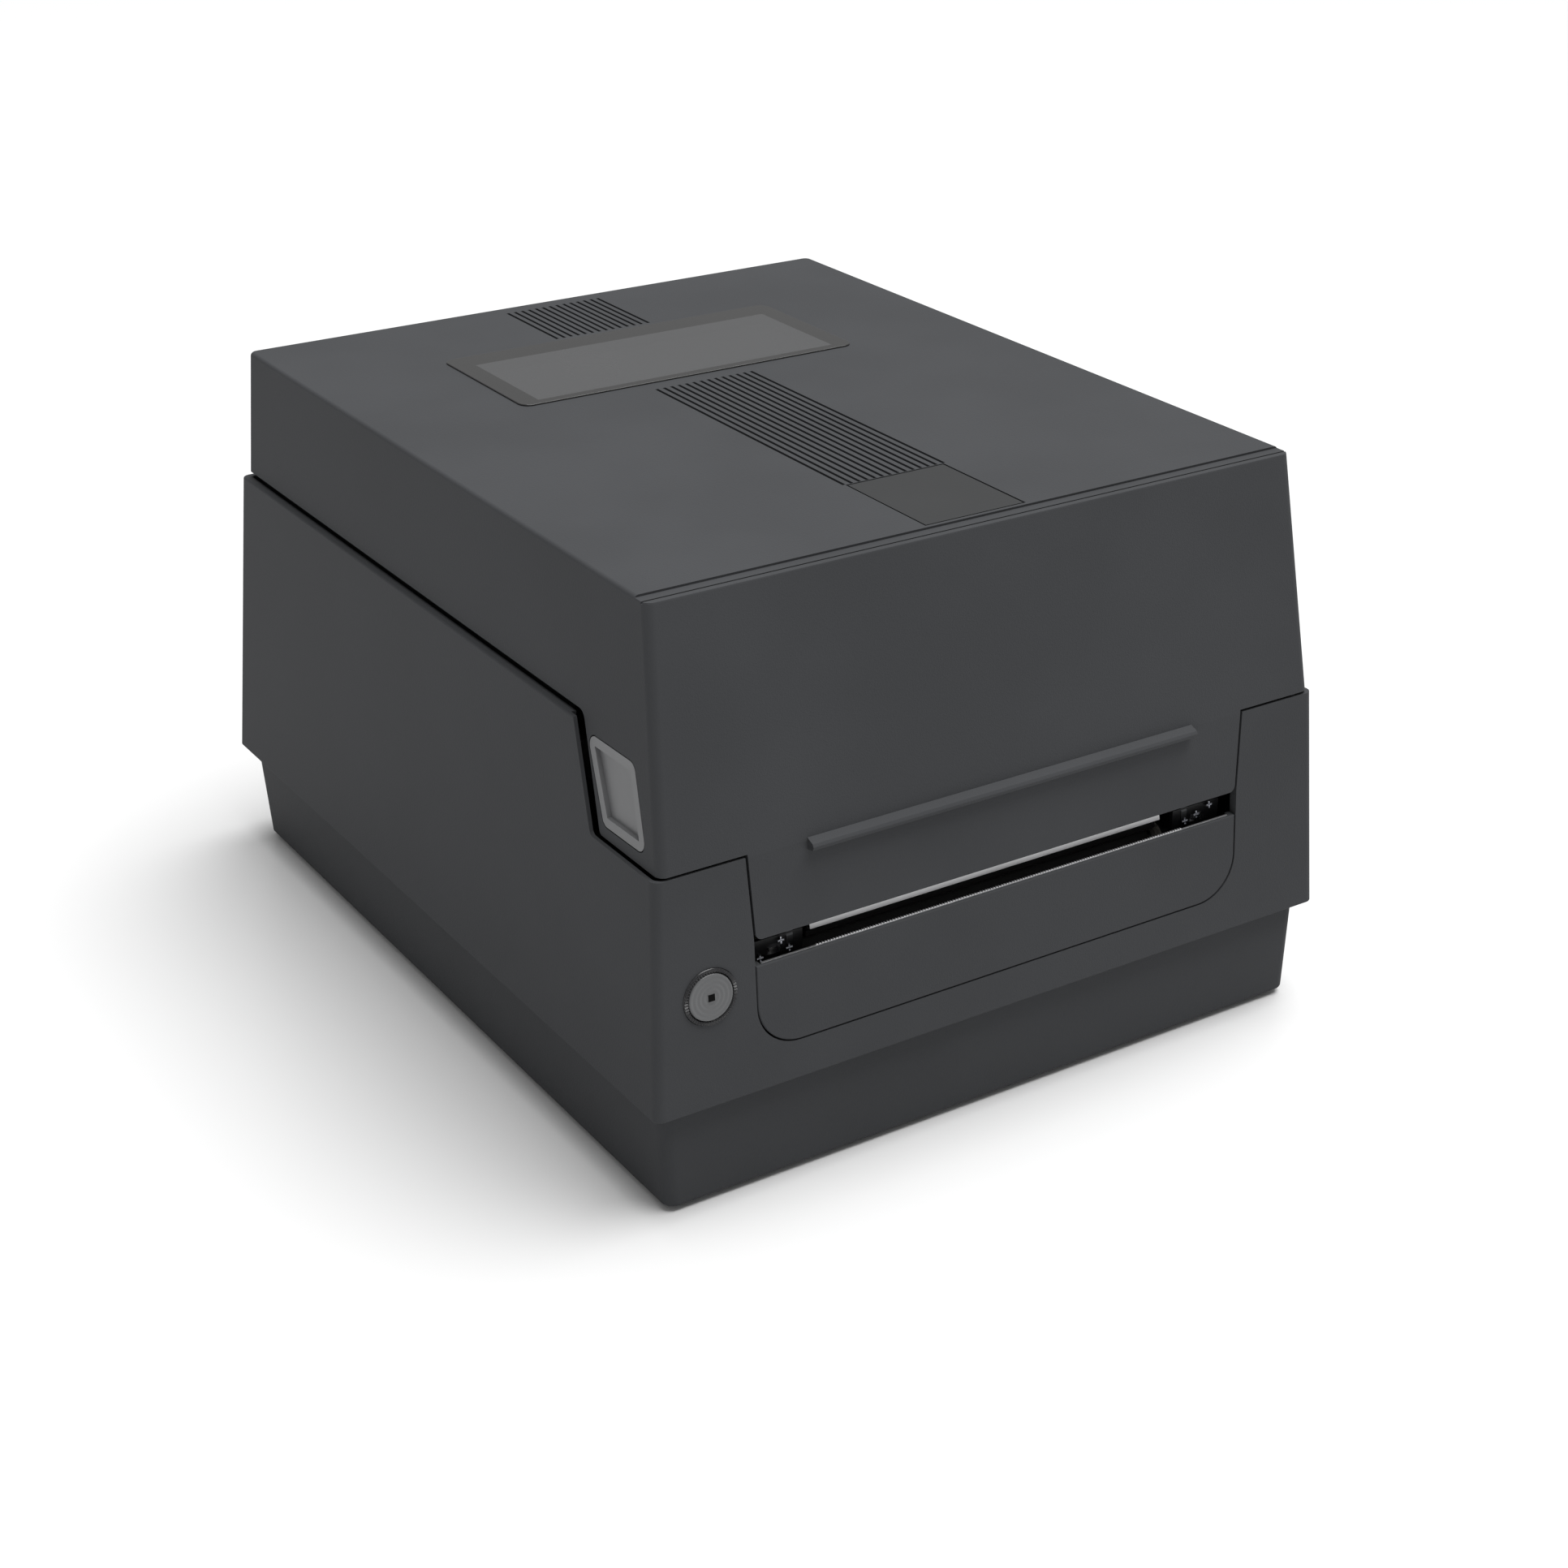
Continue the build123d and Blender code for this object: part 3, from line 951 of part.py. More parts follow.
def make_latch_hook(side):
    x0, x1 = HOOK_X - HOOK_T / 2, HOOK_X + HOOK_T / 2
    nose_top = STRIKER_Z - STRIKER_T - NEAR
    tip = nose_top - 5.4
    lever = block(x0, x1, HOOK_Y[0], HOOK_Y[1], tip + 2, HOOK_PIVOT_Z)
    lever -= block(x0 - 1, x1 + 1, HOOK_Y[0] + 5, HOOK_Y[1] - 5, STRIKER_Z - 2, STRIKER_Z + 6)
    boss = rod_y(HOOK_Y[0], HOOK_Y[1], HOOK_X, HOOK_PIVOT_Z, HOOK_BOSS_R)
    nose = prism_y([(x0, tip), (x1, tip), (x1 + HOOK_NOSE, nose_top - 1.2), (x1 + HOOK_NOSE, nose_top),
                    (x0, nose_top)], HOOK_Y[0], HOOK_Y[1])
    hook = lever + boss + nose
    hook -= rod_y(HOOK_Y[0] - 1, HOOK_Y[1] + 1, HOOK_X, HOOK_PIVOT_Z, HOOK_PIN_R + RUN)
    return hook.mirror(Plane.YZ) if side < 0 else hook


MOUNT_T = 2.0               # latch bracket


def make_latch_mounts():
    top = HOOK_PIVOT_Z + HOOK_BOSS_R + 2
    outer = lid_half(top + MOUNT_T + 1) - WALL - NEAR
    front, back = HOOK_Y[0] - 0.4, HOOK_Y[1] + 0.4
    mount = block(HOOK_X - 6, outer, front - MOUNT_T, back + MOUNT_T, top, top + MOUNT_T)
    for y0, y1 in ((front - MOUNT_T, front), (back, back + MOUNT_T)):
        mount += block(HOOK_X - HOOK_BOSS_R, HOOK_X + HOOK_BOSS_R, y0, y1, HOOK_PIVOT_Z - HOOK_BOSS_R, top + 1)
    mount += block(HOOK_X - 3, HOOK_X + 1, HOOK_Y[1] - 4, HOOK_Y[1], top, HEIGHT - WALL)
    mount -= rod_y(front - 5, back + 5, HOOK_X, HOOK_PIVOT_Z, HOOK_PIN_R + TIGHT)
    return both_sides(mount)


def make_latch_pins():
    reach = 0.6 + MOUNT_T
    return both_sides(rod_y(HOOK_Y[0] - reach, HOOK_Y[1] + reach, HOOK_X, HOOK_PIVOT_Z, HOOK_PIN_R))


# ---------------------------------------------------------------- ribbon carriage and head in the lid
def make_ribbon_frame():
    tall = HEIGHT - WALL - NEAR
    front, back = TAKEUP_Y + 12, SUPPLY_Y - 12
    outline = [(PLATEN_Y - 3.5, CROSS_PLATE_Z - 2), (TAKEUP_Y - 22.5, TAKEUP_Z + 16),
               (TAKEUP_Y + 8, TAKEUP_Z + 24), (front, tall), (back, tall), (SUPPLY_Y - 8, SUPPLY_Z + 16),
               (SUPPLY_Y + 14, SUPPLY_Z + 14), (RIBBON_BACK_Y, SUPPLY_Z - 14),
               (SUPPLY_Y - 14, HEAD_PIVOT_Z + 14), (HEAD_PIVOT_Y + 8, HEAD_PIVOT_Z - 8)]
    plate = prism_x(outline, RIBBON_X, RIBBON_X + FRAME_T, {0: 3, 1: 4, 6: 4, 7: 4, 9: 4})
    plate -= rod_x(0, WIDTH, TAKEUP_Y, TAKEUP_Z, SPINDLE_END_R + RUN)
    plate -= rod_x(0, WIDTH, SUPPLY_Y, SUPPLY_Z, SPINDLE_END_R + RUN)
    plate -= rod_x(0, WIDTH, HEAD_PIVOT_Y, HEAD_PIVOT_Z, GUIDE_ROD_R + TIGHT)
    frame = both_sides(plate)
    frame += block(-RIBBON_X, RIBBON_X, PLATEN_Y - 1.5, HEAD_BACK_Y - 2.5,
                   CROSS_PLATE_Z, CROSS_PLATE_Z + FRAME_T)
    frame += block(-RIBBON_X, RIBBON_X, front, back, tall - FRAME_T, tall)
    frame -= rod_x(-WIDTH, 0, RIBBON_MOTOR_Y, RIBBON_MOTOR_Z, 3.2)
    return frame


def make_ribbon_rods():
    rods = rod_x(-RIBBON_X, RIBBON_X, PLATEN_Y + 0.5, HEAD_PIVOT_Z + 12, GUIDE_ROD_R)
    rods += rod_x(-RIBBON_X, RIBBON_X, HEAD_PIVOT_Y + 20, HEAD_PIVOT_Z + 18, GUIDE_ROD_R)
    rods += rod_x(-RIBBON_X - FRAME_T, RIBBON_X + FRAME_T, HEAD_PIVOT_Y, HEAD_PIVOT_Z, GUIDE_ROD_R)
    return rods


def spindle(y, z):
    """A finned spindle that the ribbon's cardboard core slides onto."""
    end = RIBBON_X + FRAME_T + 0.8
    shape = rod_x(-RIBBON_X + 0.5, RIBBON_X - 0.5, y, z, CORE_R)
    for number in range(6):
        fin = block(-RIBBON_X + 6, RIBBON_X - 6, -0.8, 0.8, CORE_R - 1, CORE_R + CORE_FIN)
        shape += Pos(0, y, z) * Rot(60 * number, 0, 0) * fin
    return shape + rod_x(-end, end, y, z, SPINDLE_END_R)


def make_takeup_gear():
    x1 = -RIBBON_X - FRAME_T - 0.8
    return gear(x1 - GEAR_W, x1, TAKEUP_Y, TAKEUP_Z, TAKEUP_TEETH, SPINDLE_END_R - 1, 0.0)


def make_ribbon_motor():
    x1 = -RIBBON_X - FRAME_T
    plate = block(x1 - 1.6 - 6, x1 - 6, RIBBON_MOTOR_Y - 13, RIBBON_MOTOR_Y + 13,
                  RIBBON_MOTOR_Z - 12, RIBBON_MOTOR_Z + 12)
    spacer = rod_x(x1 - 6, x1, RIBBON_MOTOR_Y + 10.5, RIBBON_MOTOR_Z + 5, 1.8)
    can = rod_x(x1 - 7.6 - 18, x1 - 7.6, RIBBON_MOTOR_Y, RIBBON_MOTOR_Z, RIBBON_MOTOR_R)
    return plate + spacer + can - rod_x(x1 - 20, x1, RIBBON_MOTOR_Y, RIBBON_MOTOR_Z, 1.5 + RUN)


def make_ribbon_pinion():
    x1 = -RIBBON_X - FRAME_T - 0.8
    pinion = gear(x1 - GEAR_W, x1, RIBBON_MOTOR_Y, RIBBON_MOTOR_Z, RIBBON_TEETH, 1.0, RIBBON_PHASE)
    return pinion + rod_x(x1 - 18, x1, RIBBON_MOTOR_Y, RIBBON_MOTOR_Z, 1.5)


STRIP_T = 1.0
STRIP_Y = PLATEN_Y - 9.7
STRIP_Z = (SLOT_LOW + 1.1, SLOT_TOP + 0.9)
STRIP_LEAN = 1.6            # its face leans back, so it shows through the slot
SPRING_X = 34.0
SPRING_Y = PLATEN_Y + 8.5
SPRING_WIRE_R = 0.45
CARRIAGE_Z = (HEAD_Z + 2.2, HEAD_Z + 8.2)


def make_head_carriage():
    z0, z1 = CARRIAGE_Z
    carriage = block(-HEAD_HALF, HEAD_HALF, STRIP_Y + STRIP_T, HEAD_BACK_Y, z0, z1)
    for number in range(5):
        y = HEAD_BACK_Y - 7 - 4 * number
        carriage -= block(-HEAD_HALF - 1, HEAD_HALF + 1, y - 0.8, y + 0.8, z1 - 3, z1 + 1)
    arm = prism_x([(HEAD_BACK_Y - 4, z0), (HEAD_PIVOT_Y + 3.4, HEAD_PIVOT_Z - 3.0),
                   (HEAD_PIVOT_Y + 3.4, HEAD_PIVOT_Z + 3.4),
                   (HEAD_PIVOT_Y - 3.4, HEAD_PIVOT_Z + 3.4), (HEAD_BACK_Y - 4, z1)],
                  HEAD_HALF - 9.5, HEAD_HALF - 3.5, {2: 3.0, 3: 3.0})
    arm -= rod_x(0, WIDTH, HEAD_PIVOT_Y, HEAD_PIVOT_Z, GUIDE_ROD_R + RUN)
    return carriage + both_sides(arm)


def make_print_head():
    head = block(-HEAD_HALF, HEAD_HALF, STRIP_Y + STRIP_T, HEAD_BACK_Y - 4, HEAD_Z, CARRIAGE_Z[0])
    edge = [e for e in head.edges() if abs(e.tangent_at(0.5).X) > 0.9 and e.center().Z < HEAD_Z + 0.1]
    return chamfer(edge, 0.5)


def make_strip_plate():
    back, (low, high) = STRIP_Y + STRIP_T, STRIP_Z
    top_y = back - 0.5
    return prism_x([(top_y - STRIP_LEAN, low), (back, low), (back, high), (top_y, high)], -HEAD_HALF, HEAD_HALF)


def make_head_springs():
    seat = SPRING_WIRE_R + 0.25
    coil = Helix(pitch=2.6, height=CROSS_PLATE_Z - CARRIAGE_Z[1] - 2 * seat, radius=2.6)
    wire = sweep(Plane(origin=coil @ 0, z_dir=coil % 0) * Circle(SPRING_WIRE_R), path=coil, is_frenet=True)
    return both_sides(Pos(SPRING_X, SPRING_Y, CARRIAGE_Z[1] + seat) * wire)


# ---------------------------------------------------------------- write every piece
parts["bottom_case"] = make_bottom_case()
parts["rubber_feet"] = make_feet()
parts["case_screws"] = make_case_screws()
parts["body_case"] = make_body_case()
parts["front_bezel"] = make_front_bezel()
parts["tear_blade"] = make_tear_blade()
parts["media_bay"] = make_media_bay()
parts["sensor_rail"] = make_sensor_rail()
parts["media_sensor"] = make_media_sensor()
parts["roll_holder_left"] = make_roll_holder(-1)
parts["roll_holder_right"] = make_roll_holder(1)
parts["holder_pinion"] = make_holder_pinion()
parts["pinion_stud"] = make_pinion_stud()
parts["platen_frame"] = make_platen_frame()
parts["platen_bushings"] = make_platen_bushings()
parts["platen_roller"] = make_platen_roller()
parts["platen_shaft"] = make_platen_shaft()
parts["platen_gear"] = gear(GEAR_X, GEAR_X + GEAR_W, PLATEN_Y, PLATEN_Z, PLATEN_TEETH, SHAFT_R, 0.0)
parts["gear_plate"] = make_gear_plate()
parts["idler_stud"] = make_idler_stud()
parts["idler_gear"] = make_idler_gear()
parts["stepper_motor"] = make_motor()
parts["motor_pinion"] = make_motor_pinion()
parts["striker_plates"] = make_striker_plates()
parts["button_ring"] = make_button_ring()
parts["feed_button"] = make_feed_button()
parts["button_board"] = make_button_board()
parts["switch_housing"] = make_switch_housing()
parts["power_rocker"] = make_power_rocker()
parts["main_board"] = make_main_board()
parts["board_components"] = make_board_components()
for port in PORTS:
    parts[port] = make_port(port)
parts["board_screws"] = make_board_screws()
parts["frame_screws"] = make_frame_screws()
parts["hinge_pins"] = make_hinge_pins()
parts["lid_shell"] = make_lid_shell()
parts["lid_liner"] = make_lid_liner()
parts["window_pane"] = make_window_pane()
parts["name_plate"] = make_name_plate()
parts["release_left"] = make_release(-1)
parts["release_right"] = make_release(1)
parts["latch_hook_left"] = make_latch_hook(-1)
parts["latch_hook_right"] = make_latch_hook(1)
parts["latch_mounts"] = make_latch_mounts()
parts["latch_pins"] = make_latch_pins()
parts["ribbon_frame"] = make_ribbon_frame()
parts["ribbon_rods"] = make_ribbon_rods()
parts["takeup_spindle"] = spindle(TAKEUP_Y, TAKEUP_Z)
parts["takeup_gear"] = make_takeup_gear()
parts["supply_spindle"] = spindle(SUPPLY_Y, SUPPLY_Z)
parts["ribbon_motor"] = make_ribbon_motor()
parts["ribbon_pinion"] = make_ribbon_pinion()
parts["head_carriage"] = make_head_carriage()
parts["print_head"] = make_print_head()
parts["strip_plate"] = make_strip_plate()
parts["head_springs"] = make_head_springs()

os.makedirs("parts", exist_ok=True)
for name, shape in parts.items():
    export_step(shape, f"parts/{name}.step")
    print(name, len(shape.solids()), round(shape.volume))
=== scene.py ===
# %% [markdown]
# # A desktop label printer, dressed in Blender
# The printer's bodies come in from a imported CAD model: a base, a lid on rear
# hinges, a platen roller, a print head and the small parts between them. The
# CAD says where everything is and how it moves. Blender's work is how it looks:
# the etched grain of the shells, the turned rings of the button, the knurl round
# it, teeth, screws and copper. The frame is loaded first.

# %% The frame
import json
import math

import bpy
from mathutils import Euler, Matrix, Vector


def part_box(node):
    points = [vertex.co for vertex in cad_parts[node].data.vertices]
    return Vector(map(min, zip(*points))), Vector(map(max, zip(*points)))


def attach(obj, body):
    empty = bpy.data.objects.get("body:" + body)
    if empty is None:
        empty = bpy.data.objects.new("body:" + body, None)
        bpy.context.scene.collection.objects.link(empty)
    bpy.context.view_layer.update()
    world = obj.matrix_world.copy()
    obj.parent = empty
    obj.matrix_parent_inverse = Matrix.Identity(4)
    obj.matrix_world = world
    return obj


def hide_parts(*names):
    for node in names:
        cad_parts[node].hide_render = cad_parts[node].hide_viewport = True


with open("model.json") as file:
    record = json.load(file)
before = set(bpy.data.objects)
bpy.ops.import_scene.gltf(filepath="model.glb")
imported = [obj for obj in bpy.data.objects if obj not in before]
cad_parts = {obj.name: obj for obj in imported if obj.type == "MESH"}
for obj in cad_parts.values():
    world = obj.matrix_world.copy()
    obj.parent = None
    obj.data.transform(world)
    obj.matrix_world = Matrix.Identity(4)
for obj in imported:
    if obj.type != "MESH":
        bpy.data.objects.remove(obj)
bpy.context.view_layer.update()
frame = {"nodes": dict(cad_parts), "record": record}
MM = 0.001
NODES = frame["nodes"]

# %% [markdown]
# ## The camera
# The view is from a little above, towards one corner, so that the top, the
# front and one side all show. A lens rather longer than normal keeps the sides
# nearly upright. The camera could be aimed by angles or by a constraint. Its own
# axes are written out as three vectors instead, which leaves nothing to round.

# %% Camera
CAMERA_PLACE = Vector((-0.40021, -0.64634, 0.41297))
CAMERA_RIGHT = Vector((0.8415, -0.5402, 0.0))
CAMERA_UP = Vector((0.2364, 0.3683, 0.8992))
CAMERA_BACK = Vector((-0.48575, -0.75670, 0.43755))
LENS_MM = 61.73


def add_camera(lens_mm):
    data = bpy.data.cameras.new("camera")
    data.lens, data.sensor_width = lens_mm, 36.0
    data.clip_start, data.clip_end = 0.02, 60.0
    camera = bpy.data.objects.new("camera", data)
    turn = Matrix((CAMERA_RIGHT, CAMERA_UP, CAMERA_BACK)).transposed()
    camera.matrix_world = Matrix.Translation(CAMERA_PLACE) @ turn.to_4x4()
    bpy.context.scene.collection.objects.link(camera)
    bpy.context.scene.camera = camera
    return camera


print("camera lens:", add_camera(LENS_MM).data.lens, "mm")

# %% [markdown]
# ## Finishes as short expressions
# A finish is a small graph of shader nodes. It could be laid out node by node,
# which takes many lines and hides the idea, so three small classes do it.
# `Signal` wraps the output of a node, and sums and products of signals add Math
# nodes behind the scenes. `Graph` adds any node from its type, its settings and
# the values or signals of its inputs. `Finish` is one material, and its `done`
# closes the graph with the Principled shader. What is the same all over a
# surface is set on the shader, and only what changes over it is linked.


# %% Signals and graphs
class Signal:
    """The output of a node, with maths on it written as maths."""

    def __init__(self, graph, socket):
        self.graph, self.socket = graph, socket

    def maths(self, operation, *values):
        inputs = dict(enumerate(values))
        return self.graph.node("ShaderNodeMath", {"operation": operation}, inputs)

    def __add__(self, other):
        return self.maths("ADD", self, other)

    def __sub__(self, other):
        return self.maths("SUBTRACT", self, other)

    def __rsub__(self, other):
        return self.maths("SUBTRACT", other, self)

    def __mul__(self, other):
        return self.maths("MULTIPLY", self, other)

    def __truediv__(self, other):
        return self.maths("DIVIDE", self, other)

    def __rtruediv__(self, other):
        return self.maths("DIVIDE", other, self)

    __radd__, __rmul__ = __add__, __mul__

    def size(self):
        return self.maths("ABSOLUTE", self)

    def also(self, name):
        """Another output of the same node."""
        return Signal(self.graph, self.socket.node.outputs[name])


class Graph:
    """A node tree in the making, for a material or for Geometry Nodes."""

    def __init__(self, tree):
        self.tree = tree
        tree.nodes.clear()

    def node(self, kind, settings, inputs, output=0):
        made = self.tree.nodes.new(kind)
        for key, value in settings.items():
            setattr(made, key, value)
        for key, value in inputs.items():
            if isinstance(value, Signal):
                self.tree.links.new(value.socket, made.inputs[key])
            else:
                made.inputs[key].default_value = value
        return Signal(self, made.outputs[output])


class Finish(Graph):
    """One procedural material."""

    def __init__(self, name):
        self.material = bpy.data.materials.new(name)
        self.material.use_nodes = True
        super().__init__(self.material.node_tree)
        self.place = self.node("ShaderNodeTexCoord", {}, {}, "Object")

    def axes(self):
        """The X and Y of the place, in metres."""
        x = self.node("ShaderNodeSeparateXYZ", {}, {0: self.place})
        return x, x.also("Y")

    def noise(self, per_mm, detail=2.0, stretch=(1.0, 1.0, 1.0)):
        """Cloudy noise from 0 to 1, with about that many blobs in a millimetre."""
        scale = [share * per_mm / MM for share in stretch]
        where = self.node("ShaderNodeMapping", {}, {"Vector": self.place, "Scale": scale})
        return self.node(
            "ShaderNodeTexNoise", {}, {"Vector": where, "Scale": 1.0, "Detail": detail})

    def pebbles(self, wide_mm):
        """Rounded Voronoi cells of about that width."""
        return self.node(
            "ShaderNodeTexVoronoi", {"feature": "SMOOTH_F1"},
            {"Vector": self.place, "Scale": 1.0 / wide_mm / MM}, "Distance")

    def smooth(self, signal, low, high, to_low=0.0, to_high=1.0):
        """Low to high on the signal eased to to_low and to_high."""
        return self.node(
            "ShaderNodeMapRange", {"interpolation_type": "SMOOTHSTEP"},
            {"Value": signal, "From Min": low, "From Max": high, "To Min": to_low, "To Max": to_high})

    def inside(self, x_range, y_range, edge=0.15 * MM):
        """1 inside a rectangle seen from above and 0 outside it, with a soft edge."""
        x, y = self.axes()
        masks = []
        for axis, (low, high) in ((x, x_range), (y, y_range)):
            away = (axis - (low + high) / 2).size()
            half = (high - low) / 2
            masks.append(self.smooth(away, half - edge, half + edge, 1.0, 0.0))
        return masks[0] * masks[1]

    def blend(self, mask, first, second):
        """The first colour where the mask is 0, and the second where it is 1."""
        both = {0: mask, 6: paint(first), 7: paint(second)}
        return self.node("ShaderNodeMix", {"data_type": "RGBA"}, both, 2)

    def clouded(self, colour, slow, cloud):
        """The colour, a little darker and a little lighter along slow noise."""
        darker, lighter = ([part * share for part in colour] for share in (1 - cloud, 1 + cloud))
        return self.blend(self.smooth(slow, 0.3, 0.7), darker, lighter)

    def bump(self, height, depth_mm):
        """A normal from a height of 0 to 1, which stands for that many millimetres."""
        inputs = {"Height": height, "Distance": depth_mm * MM, "Strength": 1.0}
        return self.node("ShaderNodeBump", {}, inputs)

    def done(self, colour, roughness, normal=None, **uniform):
        """Closes the graph; an input that is the same all over is given by its name."""
        inputs = {"Base Color": paint(colour), "Roughness": roughness}
        if normal is not None:
            inputs["Normal"] = normal
        inputs.update({key.replace("_", " "): value for key, value in uniform.items()})
        shader = self.node("ShaderNodeBsdfPrincipled", {}, inputs)
        end = self.tree.nodes.new("ShaderNodeOutputMaterial")
        self.tree.links.new(shader.socket, end.inputs["Surface"])
        return self.material


def paint(colour):
    """A grey number or three numbers as a colour, and a signal as it is."""
    if isinstance(colour, Signal):
        return colour
    if isinstance(colour, (int, float)):
        colour = (colour,) * 3
    return (*colour, 1.0)


def by_name(*materials):
    """Keyed by plain name: where the frame has a material of that name, Blender numbers the new one."""
    return {material.name.partition(".")[0]: material for material in materials}


print("finish helpers ready")

# %% [markdown]
# ## The plastics
# The shells are injection mouldings in dark grey ABS. Their tool is etched, so
# the surface has a fine even grain, a few tenths of a millimetre across, which
# breaks up the reflections and makes the wall look soft. Real displacement could
# make it, but needs millions of faces, so it is a bump. Voronoi cells give the
# pebbles, a little noise keeps them from looking regular, and a slow cloud
# changes the roughness where hands have polished the plastic.


# %% Plastics
def moulded(name, colour, rough, grain_mm=0.45, depth_mm=0.055, cloud=0.05, specular=0.08):
    """Plastic from an etched mould: pebbles of that width, that deep."""
    f = Finish(name)
    fuzz = f.noise(2.2 / grain_mm)
    slow = f.noise(0.018, 3.0)
    height = f.pebbles(grain_mm) * 0.7 + fuzz * 0.3
    roughness = rough + (slow - 0.5) * 0.10 + (fuzz - 0.5) * 0.06
    return f.done(f.clouded(colour, slow, cloud), roughness, f.bump(height, depth_mm),
                  Specular_IOR_Level=specular)


def satin(name, colour, rough, depth_mm=0.01, specular=0.35, cloud=0.06):
    """Smooth plastic from a polished mould, with a breath of waviness."""
    f = Finish(name)
    slow = f.noise(0.03, 3.0)
    roughness = rough + (slow - 0.5) * 0.08
    return f.done(f.clouded(colour, slow, cloud), roughness, f.bump(f.noise(1.3), depth_mm),
                  Specular_IOR_Level=specular)


SHELL = (0.0505, 0.0522, 0.0555)
FINISHES = by_name(
    moulded("case_plastic", SHELL, 0.60),
    # painted shade: the base is the case's plastic made 7% darker, so its lower faces read darker
    moulded("base_plastic", [c * 0.93 for c in SHELL], 0.60),
    moulded("lid_plastic", SHELL, 0.60),
    satin("inner_plastic", (0.010, 0.010, 0.011), 0.5),
    moulded("rubber", (0.018, 0.018, 0.018), 0.85, 0.3, 0.03),
    satin("white_plastic", (0.72, 0.70, 0.64), 0.42),
    satin("switch_black", (0.012, 0.012, 0.013), 0.32),
    satin("name_plate", (0.026, 0.027, 0.028), 0.42, specular=0.25),
    satin("release_plastic", (0.165, 0.167, 0.171), 0.45),
    satin("spindle_plastic", (0.022, 0.022, 0.024), 0.45),
    satin("holder_plastic", (0.045, 0.085, 0.14), 0.42),
    satin("sensor_plastic", (0.02, 0.02, 0.02), 0.5),
    satin("chip_black", (0.016, 0.016, 0.017), 0.55),
    satin("button_cap", (0.115, 0.117, 0.120), 0.30),
    satin("button_ring", (0.03, 0.03, 0.032), 0.22),
    satin("ceramic_board", (0.02, 0.02, 0.02), 0.40),
    satin("head_aluminium", (0.006, 0.006, 0.006), 0.6, specular=0.1),    # anodised black
)
print("plastics:", len(FINISHES))

# %% [markdown]
# ## The metals
# Sheet steel keeps the fine lines of the rolling mill, a ground shaft keeps
# rings from the stone, and screws are zinc plated with a slight haze. An
# anisotropic shader could draw such lines, but noise squeezed hard along one
# axis is simpler and can be baked. Metals show their surroundings, and nearly
# all that they need is a roughness that varies.


# %% Metals
def metal(name, colour, rough, stretch, per_mm=1.2, depth_mm=0.006, vary=0.16):
    """Bare or plated metal, with lines across the axis whose stretch is the largest."""
    f = Finish(name)
    lines = f.noise(per_mm, 4.0, stretch)
    haze = f.noise(0.05, 3.0)
    tint = f.blend(f.smooth(haze, 0.3, 0.75), [c * 0.86 for c in colour], colour)
    roughness = rough + (lines - 0.5) * vary + (haze - 0.5) * 0.12
    return f.done(tint, roughness, f.bump(lines, depth_mm), Metallic=1.0)


FINISHES.update(by_name(
    metal("zinc_screws", (0.78, 0.79, 0.82), 0.24, (1, 1, 1), 2.0),
    metal("blade_steel", (0.86, 0.86, 0.87), 0.42, (0.04, 1, 1), 6.0),
    metal("shaft_steel", (0.55, 0.55, 0.56), 0.22, (6, 1, 1), 0.5),
    metal("frame_steel", (0.085, 0.087, 0.09), 0.40, (1, 0.08, 1), 3.0),
    metal("brass", (0.72, 0.52, 0.22), 0.28, (6, 1, 1), 0.8),
    metal("port_metal", (0.60, 0.60, 0.58), 0.32, (1, 1, 0.2), 2.0),
    metal("motor_can", (0.10, 0.10, 0.11), 0.38, (1, 1, 1), 1.5),
))
print("finishes:", len(FINISHES))

# %% [markdown]
# ## Rubber, glass and the circuit board
# The platen is ground rubber: matt, with the faint rings of grinding. The
# window is smoked clear plastic with a dark border printed behind it. It could
# be a glass shader, but an alpha under 1 is enough and bakes well. The board is
# green solder mask over copper tracks, which a brick pattern stands for.


# %% Other finishes
BORDER_SIDES = 6.5 * MM     # the window's dark border, in from the edges of its plate
BORDER_FRONT = 3.0 * MM
BORDER_BACK = 9.5 * MM


def ground_rubber(name):
    f = Finish(name)
    rings = f.noise(1.0, 3.0, (5, 0.3, 0.3))
    slow = f.noise(0.05)
    return f.done(0.024, 0.7 + (slow - 0.5) * 0.1, f.bump(rings, 0.012), Specular_IOR_Level=0.3)


def smoked_window(name):
    """Clear over the roll, with a dark border."""
    f = Finish(name)
    slow = f.noise(0.02, 3.0)
    low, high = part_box("window_pane")
    clear = f.inside((low[0] + BORDER_SIDES, high[0] - BORDER_SIDES),
                     (low[1] + BORDER_FRONT, high[1] - BORDER_BACK))
    border = f.blend(slow, 0.020, 0.024)
    pane = f.blend(slow, (0.062, 0.063, 0.065), (0.074, 0.075, 0.077))
    rough = f.smooth(slow, 0.2, 0.8, 0.20, 0.28)
    return f.done(f.blend(clear, border, pane), rough, f.bump(slow, 0.05),
                  Alpha=f.smooth(clear, 0, 1, 1.0, 0.86), Specular_IOR_Level=0.36)


def solder_mask(name):
    """Green lacquer that is lighter where a copper track runs under it."""
    f = Finish(name)
    track = f.node("ShaderNodeTexBrick", {"offset": 0.37, "squash": 0.6}, {
        "Vector": f.place, "Scale": 1.0 / (5.2 * MM), "Mortar Size": 0.06,
        "Brick Width": 1.7, "Row Height": 0.33}, "Fac")
    cloud = f.noise(0.3)
    tint = f.blend(track, (0.012, 0.10, 0.045), (0.025, 0.19, 0.08))
    return f.done(tint, 0.28 + (cloud - 0.5) * 0.1, f.bump(track, 0.03), Coat_Weight=0.4)


